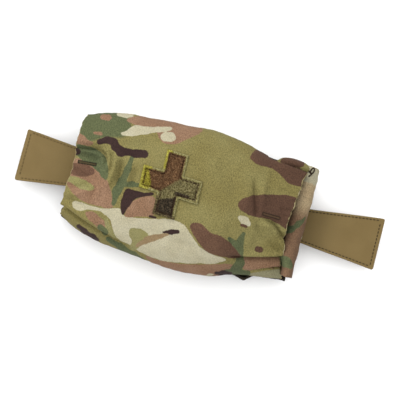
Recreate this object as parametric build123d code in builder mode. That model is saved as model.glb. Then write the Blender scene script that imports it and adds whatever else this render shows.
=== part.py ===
"""Trauma kit: a soft belt sleeve, open at both ends, with a pull-out insert that carries a stowed tourniquet.

The sleeve lies on its back. +X runs along the sleeve from mouth to mouth, +Y is up when the kit is worn and
+Z points out of the front panel. The origin is midway between the tips of the two pull tabs, on the plane that
the belt straps rest on. All sizes are in millimetres.
"""

import os

from build123d import *

# ---- Driving dimensions -------------------------------------------------------------------------------------

CLOTH = 1.2  # front panel fabric with its coating
GAP = 0.05  # space between two layers that lie on each other

STRAP_WIDTH = 25.0
STRAP_THICK = 1.6
STRAP_SPACING = 76.0
BELT_GAP = 5.2  # room for a belt between straps and back panel
BELT_HALF = 22.5  # half the height of the widest belt

PANEL_THICK = 1.4
PANEL_BOTTOM = STRAP_THICK + BELT_GAP
PANEL_TOP = PANEL_BOTTOM + PANEL_THICK

SLEEVE_LENGTH = 164.0
SLEEVE_CENTRE_X = -13.0  # the insert sits off centre in the sleeve, towards +X
MOUTH_HEIGHT = 84.0
BULGE_HEIGHT = 102.0
MOUTH_TOP = 47.0
BULGE_TOP = 57.0
SEAM_HALF = 41.0  # from the middle to the seam between front and back panels
FLANGE = 4.4  # seam allowance turned in under the front panel

INSERT_LENGTH = 155.5
TRAY_HALF = 37.7
TRAY_BOTTOM = PANEL_TOP + 1.9
TRAY_WALL_TOP = 30.0
TRAY_THICK = 1.0

TAB_LENGTH = 55.0
TAB_ROOT_WIDTH = 25.4
TAB_TIP_WIDTH = 38.1
TAB_THICK = 1.6
TAB_OVERLAP = 20.0  # part of a tab that is sewn to the tray

CROSS_SIZE = 45.0
CROSS_ARM = 15.0

# ---- Places worked out from them ----------------------------------------------------------------------------

SLEEVE_HALF = SLEEVE_LENGTH / 2
INSERT_HALF = INSERT_LENGTH / 2
LEFT_MOUTH_X = SLEEVE_CENTRE_X - SLEEVE_HALF
RIGHT_MOUTH_X = SLEEVE_CENTRE_X + SLEEVE_HALF
STRAP_X = (SLEEVE_CENTRE_X - STRAP_SPACING / 2, SLEEVE_CENTRE_X + STRAP_SPACING / 2)
SNAP_Y = -31.5
SNAP_STRAP_Z = 2.0  # centre of the strap's thickness at the snap
STRAP_SNAP_TOP = SNAP_STRAP_Z + STRAP_THICK / 2
ANCHOR_Y = 27.5  # where the sewn end of a strap stops and its free part begins
TAB_BOTTOM = TRAY_BOTTOM + TRAY_THICK + GAP
TAB_TOP = TAB_BOTTOM + TAB_THICK

os.makedirs("parts", exist_ok=True)


def save(piece, name):
    """Labels a finished piece and writes its STEP file."""
    piece.part.label = name
    export_step(piece.part, f"parts/{name}.step")


def skin(inset, overrun=0.0, drop=0.0):
    """Closed lofted solid bounded by the sleeve's outer surface, moved inwards by inset.

    overrun lengthens it past both mouths, and drop carries its flat bottom below the back panel's inner face.
    """
    reach = SLEEVE_HALF + overrun
    sections = 7
    with BuildPart() as body:
        for i in range(sections):
            x = -reach + 2 * reach * i / (sections - 1)
            bulge = 1 - (x / SLEEVE_HALF) ** 2
            half = (MOUTH_HEIGHT + (BULGE_HEIGHT - MOUTH_HEIGHT) * bulge) / 2 - inset
            top = MOUTH_TOP + (BULGE_TOP - MOUTH_TOP) * bulge - inset
            depth = top - PANEL_TOP
            foot = (SEAM_HALF - inset, PANEL_TOP - drop)
            side = (half, PANEL_TOP + 0.44 * depth)
            shoulder = (0.86 * half, PANEL_TOP + 0.85 * depth)
            crown = (0.5 * half, PANEL_TOP + 0.985 * depth)
            right = [foot, side, shoulder, crown]
            left = [(-y, z) for y, z in reversed(right)]
            with BuildSketch(Plane.YZ.offset(SLEEVE_CENTRE_X + x)):
                with BuildLine():
                    Spline(*right, (0, top), *left)
                    Line(left[-1], foot)
                make_face()
        loft()
    return body.part


outer_skin = skin(0)
inner_skin = skin(CLOTH, overrun=4, drop=3)
elastic_outer = skin(CLOTH + GAP, overrun=4, drop=3)
elastic_inner = skin(CLOTH + GAP + 0.8, overrun=4, drop=3)
tack_bottom = skin(-GAP)
tack_top = skin(-0.55)
patch_top = skin(-1.3)

# ---- Sleeve: fabric panels ----------------------------------------------------------------------------------

FLANGE_TOP = PANEL_TOP + 1.6
FLANGE_Y = SEAM_HALF - 0.1 - FLANGE / 2

with BuildPart() as front_panel:
    add(outer_skin)
    add(inner_skin, mode=Mode.SUBTRACT)
    with BuildSketch(Plane.XY.offset(PANEL_TOP)):
        with Locations((SLEEVE_CENTRE_X, FLANGE_Y), (SLEEVE_CENTRE_X, -FLANGE_Y)):
            Rectangle(SLEEVE_LENGTH, FLANGE)
    extrude(amount=FLANGE_TOP - PANEL_TOP)
save(front_panel, "front_panel")

PANEL_HALF = SEAM_HALF + 0.4
STUD_SHANK_R = 1.9

with BuildPart() as back_panel:
    with BuildSketch(Plane.XY.offset(PANEL_BOTTOM)):
        with Locations((SLEEVE_CENTRE_X, 0)):
            RectangleRounded(SLEEVE_LENGTH, 2 * PANEL_HALF, radius=3)
        with Locations([(x, SNAP_Y) for x in STRAP_X]):
            Circle(STUD_SHANK_R + GAP, mode=Mode.SUBTRACT)
    extrude(amount=PANEL_THICK)
save(back_panel, "back_panel")

BINDING_THICK = 0.55
BINDING_LEG = 4.4

for side, name in ((1, "upper_seam_binding"), (-1, "lower_seam_binding")):
    with BuildPart() as seam_binding:
        with BuildSketch(Plane.YZ.offset(LEFT_MOUTH_X)):
            with BuildLine():
                edge = side * (PANEL_HALF + GAP)
                leg_end = side * (PANEL_HALF - BINDING_LEG)
                under = PANEL_BOTTOM - GAP
                Polyline(
                    (edge, PANEL_TOP + 0.6),
                    (edge, under),
                    (leg_end, under),
                    (leg_end, under - BINDING_THICK),
                    (edge + side * BINDING_THICK, under - BINDING_THICK),
                    (edge + side * BINDING_THICK, PANEL_TOP + 0.6),
                    close=True,
                )
            make_face()
        extrude(amount=SLEEVE_LENGTH)
        add(tack_bottom, mode=Mode.SUBTRACT)
    save(seam_binding, name)

# ---- Sleeve: mouth elastics, cross patch, stitching and cord ------------------------------------------------

ELASTIC_WIDTH = 14.0
ELASTIC_SET_BACK = 4.0
FRONT_ZONE_Z = PANEL_TOP + 1.8  # everything above the seam allowance

for x, name in (
    (LEFT_MOUTH_X + ELASTIC_SET_BACK + ELASTIC_WIDTH / 2, "left_mouth_elastic"),
    (RIGHT_MOUTH_X - ELASTIC_SET_BACK - ELASTIC_WIDTH / 2, "right_mouth_elastic"),
):
    with BuildPart() as mouth_elastic:
        with BuildSketch(Plane.XY.offset(FRONT_ZONE_Z)):
            with Locations((x, 0)):
                Rectangle(ELASTIC_WIDTH, BULGE_HEIGHT)
        extrude(amount=BULGE_TOP)
        add(elastic_outer, mode=Mode.INTERSECT)
        add(elastic_inner, mode=Mode.SUBTRACT)
    save(mouth_elastic, name)

CROSS_X = SLEEVE_CENTRE_X - 10

with BuildPart() as cross_patch:
    with BuildSketch(Plane.XY.offset(FRONT_ZONE_Z)):
        with Locations((CROSS_X, 0)):
            Rectangle(CROSS_SIZE, CROSS_ARM)
            Rectangle(CROSS_ARM, CROSS_SIZE)
    extrude(amount=BULGE_TOP)
    add(patch_top, mode=Mode.INTERSECT)
    add(tack_bottom, mode=Mode.SUBTRACT)
save(cross_patch, "cross_patch")

TACK_LENGTH = 14.0
TACK_WIDTH = 1.6

with BuildPart() as mouth_bar_tacks:
    with BuildSketch(Plane.XY.offset(FRONT_ZONE_Z)):
        with Locations((LEFT_MOUTH_X + 11, 0), (RIGHT_MOUTH_X - 16, 0)):
            SlotOverall(TACK_LENGTH, TACK_WIDTH)
    extrude(amount=BULGE_TOP)
    add(tack_top, mode=Mode.INTERSECT)
    add(tack_bottom, mode=Mode.SUBTRACT)
save(mouth_bar_tacks, "mouth_bar_tacks")

CORD_R = 0.8
CORD_LOOP_R = 2.8

with BuildPart() as corner_cord_loop:
    with Locations(Location((RIGHT_MOUTH_X + 1.2, 35.5, 42.5), (90, 0, 0))):
        Torus(CORD_LOOP_R, CORD_R)
save(corner_cord_loop, "corner_cord_loop")

# ---- Sleeve: strap anchors and snap studs -------------------------------------------------------------------

ANCHOR_END_Y = PANEL_HALF - BINDING_LEG - 0.1
ANCHOR_BOTTOM = PANEL_BOTTOM - GAP - STRAP_THICK

for x, name in zip(STRAP_X, ("left_strap_anchor", "right_strap_anchor")):
    with BuildPart() as strap_anchor:
        with BuildSketch(Plane.XY.offset(ANCHOR_BOTTOM)):
            with Locations((x, (ANCHOR_Y + ANCHOR_END_Y) / 2)):
                Rectangle(STRAP_WIDTH, ANCHOR_END_Y - ANCHOR_Y)
        extrude(amount=STRAP_THICK)
    save(strap_anchor, name)

with BuildPart() as anchor_bar_tacks:
    with BuildSketch(Plane.XY.offset(ANCHOR_BOTTOM - GAP)):
        with Locations([(x, y) for x in STRAP_X for y in (ANCHOR_Y + 2.8, ANCHOR_END_Y - 1.6)]):
            SlotOverall(STRAP_WIDTH - 3, TACK_WIDTH)
    extrude(amount=-0.45)
save(anchor_bar_tacks, "anchor_bar_tacks")

STUD_FLANGE_R = 5.0
STUD_POST_R = 3.1
STUD_FLANGE_BOTTOM = PANEL_BOTTOM - GAP - 0.8
WASHER_TOP = PANEL_TOP + GAP + 0.6

with BuildPart() as snap_studs:
    with BuildSketch(Plane.XY.offset(STUD_FLANGE_BOTTOM)):
        with Locations([(x, SNAP_Y) for x in STRAP_X]):
            Circle(STUD_FLANGE_R)
    extrude(amount=0.8)
    with BuildSketch(Plane.XY.offset(STUD_FLANGE_BOTTOM)):
        with Locations([(x, SNAP_Y) for x in STRAP_X]):
            Circle(STUD_POST_R)
    extrude(amount=-2.3)
    fillet(faces().sort_by(Axis.Z).group_by(SortBy.AREA)[0].edges().group_by(Axis.Z)[0], radius=0.6)
    with BuildSketch(Plane.XY.offset(STUD_FLANGE_BOTTOM)):
        with Locations([(x, SNAP_Y) for x in STRAP_X]):
            Circle(STUD_SHANK_R)
    extrude(amount=WASHER_TOP - STUD_FLANGE_BOTTOM)
save(snap_studs, "snap_studs")

with BuildPart() as snap_washers:
    with BuildSketch(Plane.XY.offset(PANEL_TOP + GAP)):
        with Locations([(x, SNAP_Y) for x in STRAP_X]):
            Circle(4.5)
            Circle(STUD_SHANK_R + GAP, mode=Mode.SUBTRACT)
    extrude(amount=0.6)
save(snap_washers, "snap_washers")

# ---- Belt straps, each with its snap cap and socket ---------------------------------------------------------

FREE_STRAP_Y = ANCHOR_Y - 0.3
STRAP_END_Y = SNAP_Y - 8.5
CAP_R = 6.2
SHANK_R = 2.2
SOCKET_R = 5.3
SOCKET_TOP = STUD_FLANGE_BOTTOM - GAP

for x, word in zip(STRAP_X, ("left", "right")):
    with BuildPart() as belt_strap:
        with BuildSketch(Plane.YZ.offset(x)):
            with BuildLine():
                FilletPolyline(
                    (FREE_STRAP_Y, ANCHOR_BOTTOM + STRAP_THICK / 2),
                    (FREE_STRAP_Y - 1.4, ANCHOR_BOTTOM + STRAP_THICK / 2),
                    (BELT_HALF + 0.4, STRAP_THICK / 2),
                    (-BELT_HALF - 0.4, STRAP_THICK / 2),
                    (-BELT_HALF - 2.1, SNAP_STRAP_Z),
                    (STRAP_END_Y, SNAP_STRAP_Z),
                    radius=0.85,
                )
            trace(line_width=STRAP_THICK)
        extrude(amount=STRAP_WIDTH / 2, both=True)
        fillet(edges().filter_by(Axis.Z).group_by(Axis.Y)[0], radius=5)
        with BuildSketch(Plane.XY):
            with Locations((x, SNAP_Y)):
                Circle(SHANK_R + GAP)
        extrude(amount=PANEL_BOTTOM, mode=Mode.SUBTRACT)
    save(belt_strap, f"{word}_belt_strap")

    with BuildPart() as snap_cap:
        with BuildSketch(Plane.XY.offset(STRAP_SNAP_TOP - STRAP_THICK - GAP)):
            with Locations((x, SNAP_Y)):
                Circle(CAP_R)
        extrude(amount=-1.0)
        fillet(edges().group_by(Axis.Z)[0], radius=0.7)
        with BuildSketch(Plane.XY.offset(STRAP_SNAP_TOP - STRAP_THICK - GAP)):
            with Locations((x, SNAP_Y)):
                Circle(SHANK_R)
        extrude(amount=STRAP_THICK + GAP)
    save(snap_cap, f"{word}_snap_cap")

    with BuildPart() as snap_socket:
        with BuildSketch(Plane.XY.offset(STRAP_SNAP_TOP + GAP)):
            with Locations((x, SNAP_Y)):
                Circle(SOCKET_R)
        extrude(amount=SOCKET_TOP - STRAP_SNAP_TOP - GAP)
        chamfer(edges().group_by(Axis.Z)[-1], length=0.5)
        with BuildSketch(Plane.XY.offset(SOCKET_TOP)):
            with Locations((x, SNAP_Y)):
                Circle(STUD_POST_R + 0.25)
        extrude(amount=-2.5, mode=Mode.SUBTRACT)
    save(snap_socket, f"{word}_snap_socket")

# ---- Insert: tray, stiffener, end roll and tabs -------------------------------------------------------------

ROLL_THICK = 11.0
ROLL_DEPTH = 22.0
ROLL_HALF = 38.5
ROLL_START_X = INSERT_HALF - ROLL_THICK

with BuildPart() as tray:
    with BuildSketch(Plane.YZ.offset(-INSERT_HALF)):
        with BuildLine():
            wall_y = TRAY_HALF - TRAY_THICK / 2
            base_z = TRAY_BOTTOM + TRAY_THICK / 2
            FilletPolyline(
                (-wall_y, TRAY_WALL_TOP), (-wall_y, base_z), (wall_y, base_z), (wall_y, TRAY_WALL_TOP), radius=2
            )
        trace(line_width=TRAY_THICK)
    extrude(amount=INSERT_LENGTH)
    with BuildSketch(Plane.XY.offset(TRAY_BOTTOM + TRAY_THICK)):
        with Locations((ROLL_START_X - 0.5, 0)):
            Rectangle(INSERT_LENGTH, 2 * BULGE_HEIGHT, align=(Align.MIN, Align.CENTER))
    extrude(amount=BULGE_TOP, mode=Mode.SUBTRACT)
save(tray, "tray")

STIFFENER_TOP = TRAY_BOTTOM + TRAY_THICK + GAP + 0.8
STIFFENER_LENGTH = 2 * (INSERT_HALF - TAB_OVERLAP - 2)

with BuildPart() as tray_stiffener:
    with BuildSketch(Plane.XY.offset(STIFFENER_TOP - 0.8)):
        RectangleRounded(STIFFENER_LENGTH, 2 * (TRAY_HALF - 3.5), radius=4)
    extrude(amount=0.8)
save(tray_stiffener, "tray_stiffener")

with BuildPart() as end_roll:
    with BuildSketch(Plane.XZ.offset(-ROLL_HALF)):
        with Locations((INSERT_HALF - ROLL_THICK / 2, TAB_TOP + GAP * 4 + ROLL_DEPTH / 2)):
            SlotOverall(ROLL_DEPTH, ROLL_THICK, rotation=90)
    extrude(amount=2 * ROLL_HALF)
    ends = faces().sort_by(Axis.Y)
    fillet(ends[0].edges() + ends[-1].edges(), radius=4)
save(end_roll, "end_roll")

TAB_SPLIT = 0.3  # space at the fold line between the sewn and free parts of a tab

for side, word in ((-1, "left"), (1, "right")):
    align_x = Align.MIN if side < 0 else Align.MAX
    with BuildPart() as tab_root:
        with BuildSketch(Plane.XY.offset(TAB_BOTTOM)):
            with Locations((side * INSERT_HALF, 0)):
                Rectangle(TAB_OVERLAP, TAB_ROOT_WIDTH, align=(align_x, Align.CENTER))
        extrude(amount=TAB_THICK)
    save(tab_root, f"{word}_tab_root")

    with BuildPart() as pull_tab:
        with BuildSketch(Plane.XY.offset(TAB_BOTTOM)):
            with BuildLine():
                root_x = side * (INSERT_HALF + TAB_SPLIT)
                tip_x = side * (INSERT_HALF + TAB_LENGTH)
                Polyline(
                    (root_x, -TAB_ROOT_WIDTH / 2),
                    (tip_x, -TAB_TIP_WIDTH / 2),
                    (tip_x, TAB_TIP_WIDTH / 2),
                    (root_x, TAB_ROOT_WIDTH / 2),
                    close=True,
                )
            make_face()
        extrude(amount=TAB_THICK)
        tip_corners = edges().filter_by(Axis.Z).sort_by(Axis.X)
        fillet(tip_corners[:2] if side < 0 else tip_corners[-2:], radius=1.0)
    save(pull_tab, f"{word}_pull_tab")

# ---- Insert: flat packs under their pocket ------------------------------------------------------------------

SEAL_PACK_BOTTOM = STIFFENER_TOP + 0.1
SEAL_PACK_THICK = 1.2
GLOVE_PACK_BOTTOM = SEAL_PACK_BOTTOM + SEAL_PACK_THICK + 0.1
GLOVE_PACK_THICK = 2.0
PACK_HALF = 33.0
POCKET_HALF = 34.6
POCKET_THICK = 0.4
POCKET_TOP = GLOVE_PACK_BOTTOM + GLOVE_PACK_THICK + 0.2 + POCKET_THICK

with BuildPart() as chest_seal_pack:
    with BuildSketch(Plane.XY.offset(SEAL_PACK_BOTTOM)):
        RectangleRounded(106, 2 * PACK_HALF, radius=3)
    extrude(amount=SEAL_PACK_THICK)
save(chest_seal_pack, "chest_seal_pack")

with BuildPart() as glove_pack:
    with BuildSketch(Plane.XY.offset(GLOVE_PACK_BOTTOM)):
        RectangleRounded(98, 2 * PACK_HALF - 6, radius=6)
    extrude(amount=GLOVE_PACK_THICK)
    fillet(edges().filter_by(Axis.Z, reverse=True).group_by(Axis.Z)[-1], radius=0.8)
save(glove_pack, "glove_pack")

with BuildPart() as flat_pocket:
    with BuildSketch(Plane.YZ):
        with BuildLine():
            pocket_y = POCKET_HALF - POCKET_THICK / 2
            pocket_z = POCKET_TOP - POCKET_THICK / 2
            FilletPolyline(
                (-pocket_y, STIFFENER_TOP + GAP),
                (-pocket_y, pocket_z),
                (pocket_y, pocket_z),
                (pocket_y, STIFFENER_TOP + GAP),
                radius=1,
            )
        trace(line_width=POCKET_THICK)
    extrude(amount=STIFFENER_LENGTH / 2 - 1, both=True)
save(flat_pocket, "flat_pocket")

# ---- Insert: elastic loops over the contents ----------------------------------------------------------------

LOOP_WIDTH = 20.0
LOOP_THICK = 1.2
LOOP_HALF = 36.3
LOOP_TOP = 41.4
CONTENTS_BOTTOM = POCKET_TOP + 0.1

for x, word in ((-42, "left"), (2, "middle"), (46, "right")):
    with BuildPart() as elastic_loop:
        with BuildSketch(Plane.YZ.offset(x)):
            with BuildLine():
                loop_y = LOOP_HALF - LOOP_THICK / 2
                loop_z = LOOP_TOP - LOOP_THICK / 2
                loop_foot = STIFFENER_TOP + GAP
                FilletPolyline(
                    (-loop_y, loop_foot), (-loop_y, loop_z), (loop_y, loop_z), (loop_y, loop_foot), radius=9
                )
            trace(line_width=LOOP_THICK)
        extrude(amount=LOOP_WIDTH / 2, both=True)
    save(elastic_loop, f"{word}_elastic_loop")

# ---- Insert: pressure bandage and gauze ---------------------------------------------------------------------

BANDAGE_R = 11.0
BANDAGE_LENGTH = 72.0
SUPPLIES_Y = 22.0
BANDAGE_X = 27.0
GAUZE_X = -43.0

with BuildPart() as bandage_roll:
    with BuildSketch(Plane.YZ.offset(BANDAGE_X - BANDAGE_LENGTH / 2)):
        with Locations((SUPPLIES_Y, CONTENTS_BOTTOM + BANDAGE_R + 0.2)):
            Circle(BANDAGE_R)
    extrude(amount=BANDAGE_LENGTH)
    fillet(edges().filter_by(GeomType.CIRCLE), radius=1.5)
save(bandage_roll, "bandage_roll")

with BuildPart() as gauze_pack:
    with BuildSketch(Plane.XY.offset(CONTENTS_BOTTOM + 0.2)):
        with Locations((GAUZE_X, SUPPLIES_Y)):
            RectangleRounded(52, 22, radius=3)
    extrude(amount=19)
    fillet(edges().filter_by(Axis.Z, reverse=True), radius=2)
    with BuildSketch(Plane.XY.offset(CONTENTS_BOTTOM + 9.5)):
        with Locations((GAUZE_X, SUPPLIES_Y)):
            RectangleRounded(60, 25, radius=3)
    extrude(amount=0.5)
save(gauze_pack, "gauze_pack")

# ---- Tourniquet, folded flat with its windlass on top -------------------------------------------------------

TQ_X = -4.0
TQ_Y = -13.5
BAND_WIDTH = 38.0
BAND_THICK = 1.4
BAND_PITCH = 1.65
BAND_RUN = 60.0  # from the middle to the centre of each fold
FIRST_FOLD_R = 1.1
BAND_Z = CONTENTS_BOTTOM + 0.3 + FIRST_FOLD_R + 2 * BAND_PITCH + BAND_THICK / 2

with BuildPart() as tourniquet_band:
    with BuildSketch(Plane.XZ.offset(-TQ_Y)):
        with BuildLine():
            start_x = TQ_X - BAND_RUN / 2
            low = BAND_Z - FIRST_FOLD_R
            for turn in range(3):
                fold = FIRST_FOLD_R + turn * BAND_PITCH
                Line((start_x, low), (TQ_X + BAND_RUN, low))
                ThreePointArc(
                    (TQ_X + BAND_RUN, low),
                    (TQ_X + BAND_RUN + fold, BAND_Z),
                    (TQ_X + BAND_RUN, BAND_Z + fold),
                )
                if turn < 2:
                    wide = fold + BAND_PITCH / 2
                    Line((TQ_X + BAND_RUN, BAND_Z + fold), (TQ_X - BAND_RUN, BAND_Z + fold))
                    ThreePointArc(
                        (TQ_X - BAND_RUN, BAND_Z + fold),
                        (TQ_X - BAND_RUN - wide, BAND_Z - BAND_PITCH / 2),
                        (TQ_X - BAND_RUN, BAND_Z + fold - 2 * wide),
                    )
                    start_x = TQ_X - BAND_RUN
                    low = BAND_Z + fold - 2 * wide
                else:
                    Line((TQ_X + BAND_RUN, BAND_Z + fold), (TQ_X - BAND_RUN, BAND_Z + fold))
        trace(line_width=BAND_THICK)
    extrude(amount=BAND_WIDTH / 2, both=True)
save(tourniquet_band, "tourniquet_band")

PLATE_BOTTOM = BAND_Z + FIRST_FOLD_R + 2 * BAND_PITCH + BAND_THICK / 2 + 0.1
PLATE_THICK = 1.6
PLATE_TOP = PLATE_BOTTOM + PLATE_THICK
PLATE_X = TQ_X + 10
ROD_R = 4.0
ROD_LENGTH = 104.0
ROD_Z = PLATE_TOP + 1.8 + ROD_R

with BuildPart() as tourniquet_plate:
    with BuildSketch(Plane.XY.offset(PLATE_BOTTOM)):
        with Locations((PLATE_X, TQ_Y)):
            RectangleRounded(96, 40, radius=6)
        with Locations((PLATE_X - 16, TQ_Y), (PLATE_X + 16, TQ_Y)):
            RectangleRounded(3, 28, radius=1.4, mode=Mode.SUBTRACT)
    extrude(amount=PLATE_THICK)
save(tourniquet_plate, "tourniquet_plate")

with BuildPart() as windlass_rod:
    with BuildSketch(Plane.YZ.offset(PLATE_X - ROD_LENGTH / 2)):
        with Locations((TQ_Y, ROD_Z)):
            Circle(ROD_R)
    extrude(amount=ROD_LENGTH)
    fillet(edges().filter_by(GeomType.CIRCLE), radius=1.6)
    with BuildSketch(Plane.XY.offset(ROD_Z)):
        with Locations((PLATE_X, TQ_Y)):
            SlotOverall(27, 2.4)
    extrude(amount=ROD_R, both=True, mode=Mode.SUBTRACT)
    for k in range(5):
        for side in (-1, 1):
            with BuildSketch(Plane.YZ.offset(PLATE_X + side * (26 + 4 * k))):
                with Locations((TQ_Y, ROD_Z)):
                    Circle(ROD_R + 1)
                    Circle(ROD_R - 0.4, mode=Mode.SUBTRACT)
            extrude(amount=0.6, both=True, mode=Mode.SUBTRACT)
save(windlass_rod, "windlass_rod")

RIBBON_HALF = 12.5
RIBBON_THICK = 1.2

with BuildPart() as windlass_ribbon:
    with BuildSketch(Plane.YZ.offset(PLATE_X)):
        with Locations((TQ_Y, (PLATE_TOP + ROD_Z + ROD_R) / 2 + 0.2)):
            Rectangle(RIBBON_THICK, ROD_Z + ROD_R - PLATE_TOP + 0.2)
        with Locations((TQ_Y, ROD_Z + ROD_R + 0.2 + RIBBON_THICK / 2)):
            Rectangle(6, RIBBON_THICK)
    extrude(amount=RIBBON_HALF, both=True)
save(windlass_ribbon, "windlass_ribbon")

CLIP_X = PLATE_X + 34
CLIP_LENGTH = 14.0
CLIP_INNER = ROD_R + 0.6
CLIP_TOP = ROD_Z + ROD_R + 0.4

with BuildPart() as windlass_clip:
    with BuildSketch(Plane.YZ.offset(CLIP_X)):
        with Locations((TQ_Y, PLATE_TOP + GAP)):
            Rectangle(34, CLIP_TOP - PLATE_TOP - GAP, align=(Align.CENTER, Align.MIN))
        with Locations((TQ_Y, ROD_Z)):
            Circle(CLIP_INNER, mode=Mode.SUBTRACT)
            Rectangle(2 * CLIP_INNER - 1.6, 2 * CLIP_INNER, align=(Align.CENTER, Align.MIN), mode=Mode.SUBTRACT)
        for side in (-1, 1):
            with Locations((TQ_Y + side * 12, PLATE_TOP + 1.6)):
                Rectangle(8, CLIP_TOP, align=(Align.CENTER, Align.MIN), mode=Mode.SUBTRACT)
    extrude(amount=CLIP_LENGTH / 2, both=True)
save(windlass_clip, "windlass_clip")

with BuildPart() as windlass_keeper:
    with BuildSketch(Plane.XY.offset(CLIP_TOP + GAP)):
        with Locations((CLIP_X, TQ_Y)):
            RectangleRounded(CLIP_LENGTH + 8, 31, radius=1)
    extrude(amount=0.6)
save(windlass_keeper, "windlass_keeper")

BUCKLE_X = TQ_X - BAND_RUN + 6
BUCKLE_THICK = 4.2

with BuildPart() as tourniquet_buckle:
    with BuildSketch(Plane.XY.offset(PLATE_BOTTOM)):
        with Locations((BUCKLE_X, TQ_Y)):
            RectangleRounded(22, 42, radius=4)
        for dx in (-6.2, 1.2, 6.6):
            with Locations((BUCKLE_X + dx, TQ_Y)):
                RectangleRounded(3.4, 35, radius=1, mode=Mode.SUBTRACT)
    extrude(amount=BUCKLE_THICK)
    fillet(edges().filter_by(Axis.Z, reverse=True).group_by(Axis.Z)[-1], radius=0.5)
save(tourniquet_buckle, "tourniquet_buckle")
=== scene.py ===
import math

import bpy
import numpy as np
from mathutils import Matrix, Vector


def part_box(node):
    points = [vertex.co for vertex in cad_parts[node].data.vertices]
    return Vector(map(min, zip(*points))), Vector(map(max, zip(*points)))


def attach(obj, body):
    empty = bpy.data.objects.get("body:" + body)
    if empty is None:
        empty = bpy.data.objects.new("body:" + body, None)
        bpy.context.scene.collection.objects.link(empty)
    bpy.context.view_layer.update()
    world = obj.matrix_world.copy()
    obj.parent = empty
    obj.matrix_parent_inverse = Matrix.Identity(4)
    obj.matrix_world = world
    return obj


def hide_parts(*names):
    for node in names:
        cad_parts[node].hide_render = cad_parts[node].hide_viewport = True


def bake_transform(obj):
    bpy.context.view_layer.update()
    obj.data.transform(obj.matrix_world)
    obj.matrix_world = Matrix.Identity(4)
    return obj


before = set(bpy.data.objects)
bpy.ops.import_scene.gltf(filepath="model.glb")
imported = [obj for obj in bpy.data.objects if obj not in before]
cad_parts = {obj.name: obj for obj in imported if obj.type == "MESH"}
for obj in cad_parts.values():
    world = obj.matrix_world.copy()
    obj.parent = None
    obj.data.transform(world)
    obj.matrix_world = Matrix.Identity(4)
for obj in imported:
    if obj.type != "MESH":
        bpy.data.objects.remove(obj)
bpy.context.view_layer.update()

# Lengths are millimetres until a mesh is made. Colours of three numbers are display values from 0 to 255.
MM = 0.001
TILT = math.radians(8.4)  # the view leans this far from straight above, towards the sleeve's lower side
ROLL = math.radians(14.6)  # the camera is turned by this much about its own axis
PLAN_Z = 12.0  # height of the pull tabs, where plan positions equal y
LIGHT_LEVEL = 2.05  # how much the studio light lifts a surface that faces up
FAR = 40.0  # distances to printed shapes are kept up to here
BLEND = 2.5  # how softly the spots of a printed blob run together
rng = np.random.default_rng(7)


# ---- Node materials ----

def rgb(*levels):
    """Surface colour that looks like the display values 0 to 255 under the studio light."""
    c = np.array(levels) / 255
    linear = np.where(c <= 0.04045, c / 12.92, ((c + 0.055) / 1.055) ** 2.4) / LIGHT_LEVEL
    return (*linear.tolist(), 1.0)


class Value:
    """A node's output, which makes Math nodes when it is added, subtracted or multiplied."""

    def __init__(self, shader, socket):
        self.shader, self.socket = shader, socket

    def __add__(self, other):
        return self.shader.math("ADD", self, other)

    def __radd__(self, other):
        return self.shader.math("ADD", other, self)

    def __sub__(self, other):
        return self.shader.math("SUBTRACT", self, other)

    def __rsub__(self, other):
        return self.shader.math("SUBTRACT", other, self)

    def __mul__(self, other):
        return self.shader.math("MULTIPLY", self, other)


class Nodes:
    """An empty node tree."""

    def __init__(self, owner):
        owner.use_nodes = True
        self.tree = owner.node_tree
        self.tree.nodes.clear()

    def put(self, socket, value):
        if isinstance(value, Value):
            self.tree.links.new(value.socket, socket)
        else:
            socket.default_value = rgb(*value) if socket.type == "RGBA" and len(value) == 3 else value

    def node(self, kind, inputs, output=0, **settings):
        node = self.tree.nodes.new("ShaderNode" + kind)
        for key, value in settings.items():
            setattr(node, key, value)
        for key, value in inputs.items():
            self.put(node.inputs[key], value)
        return None if output is None else Value(self, node.outputs[output])


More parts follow.
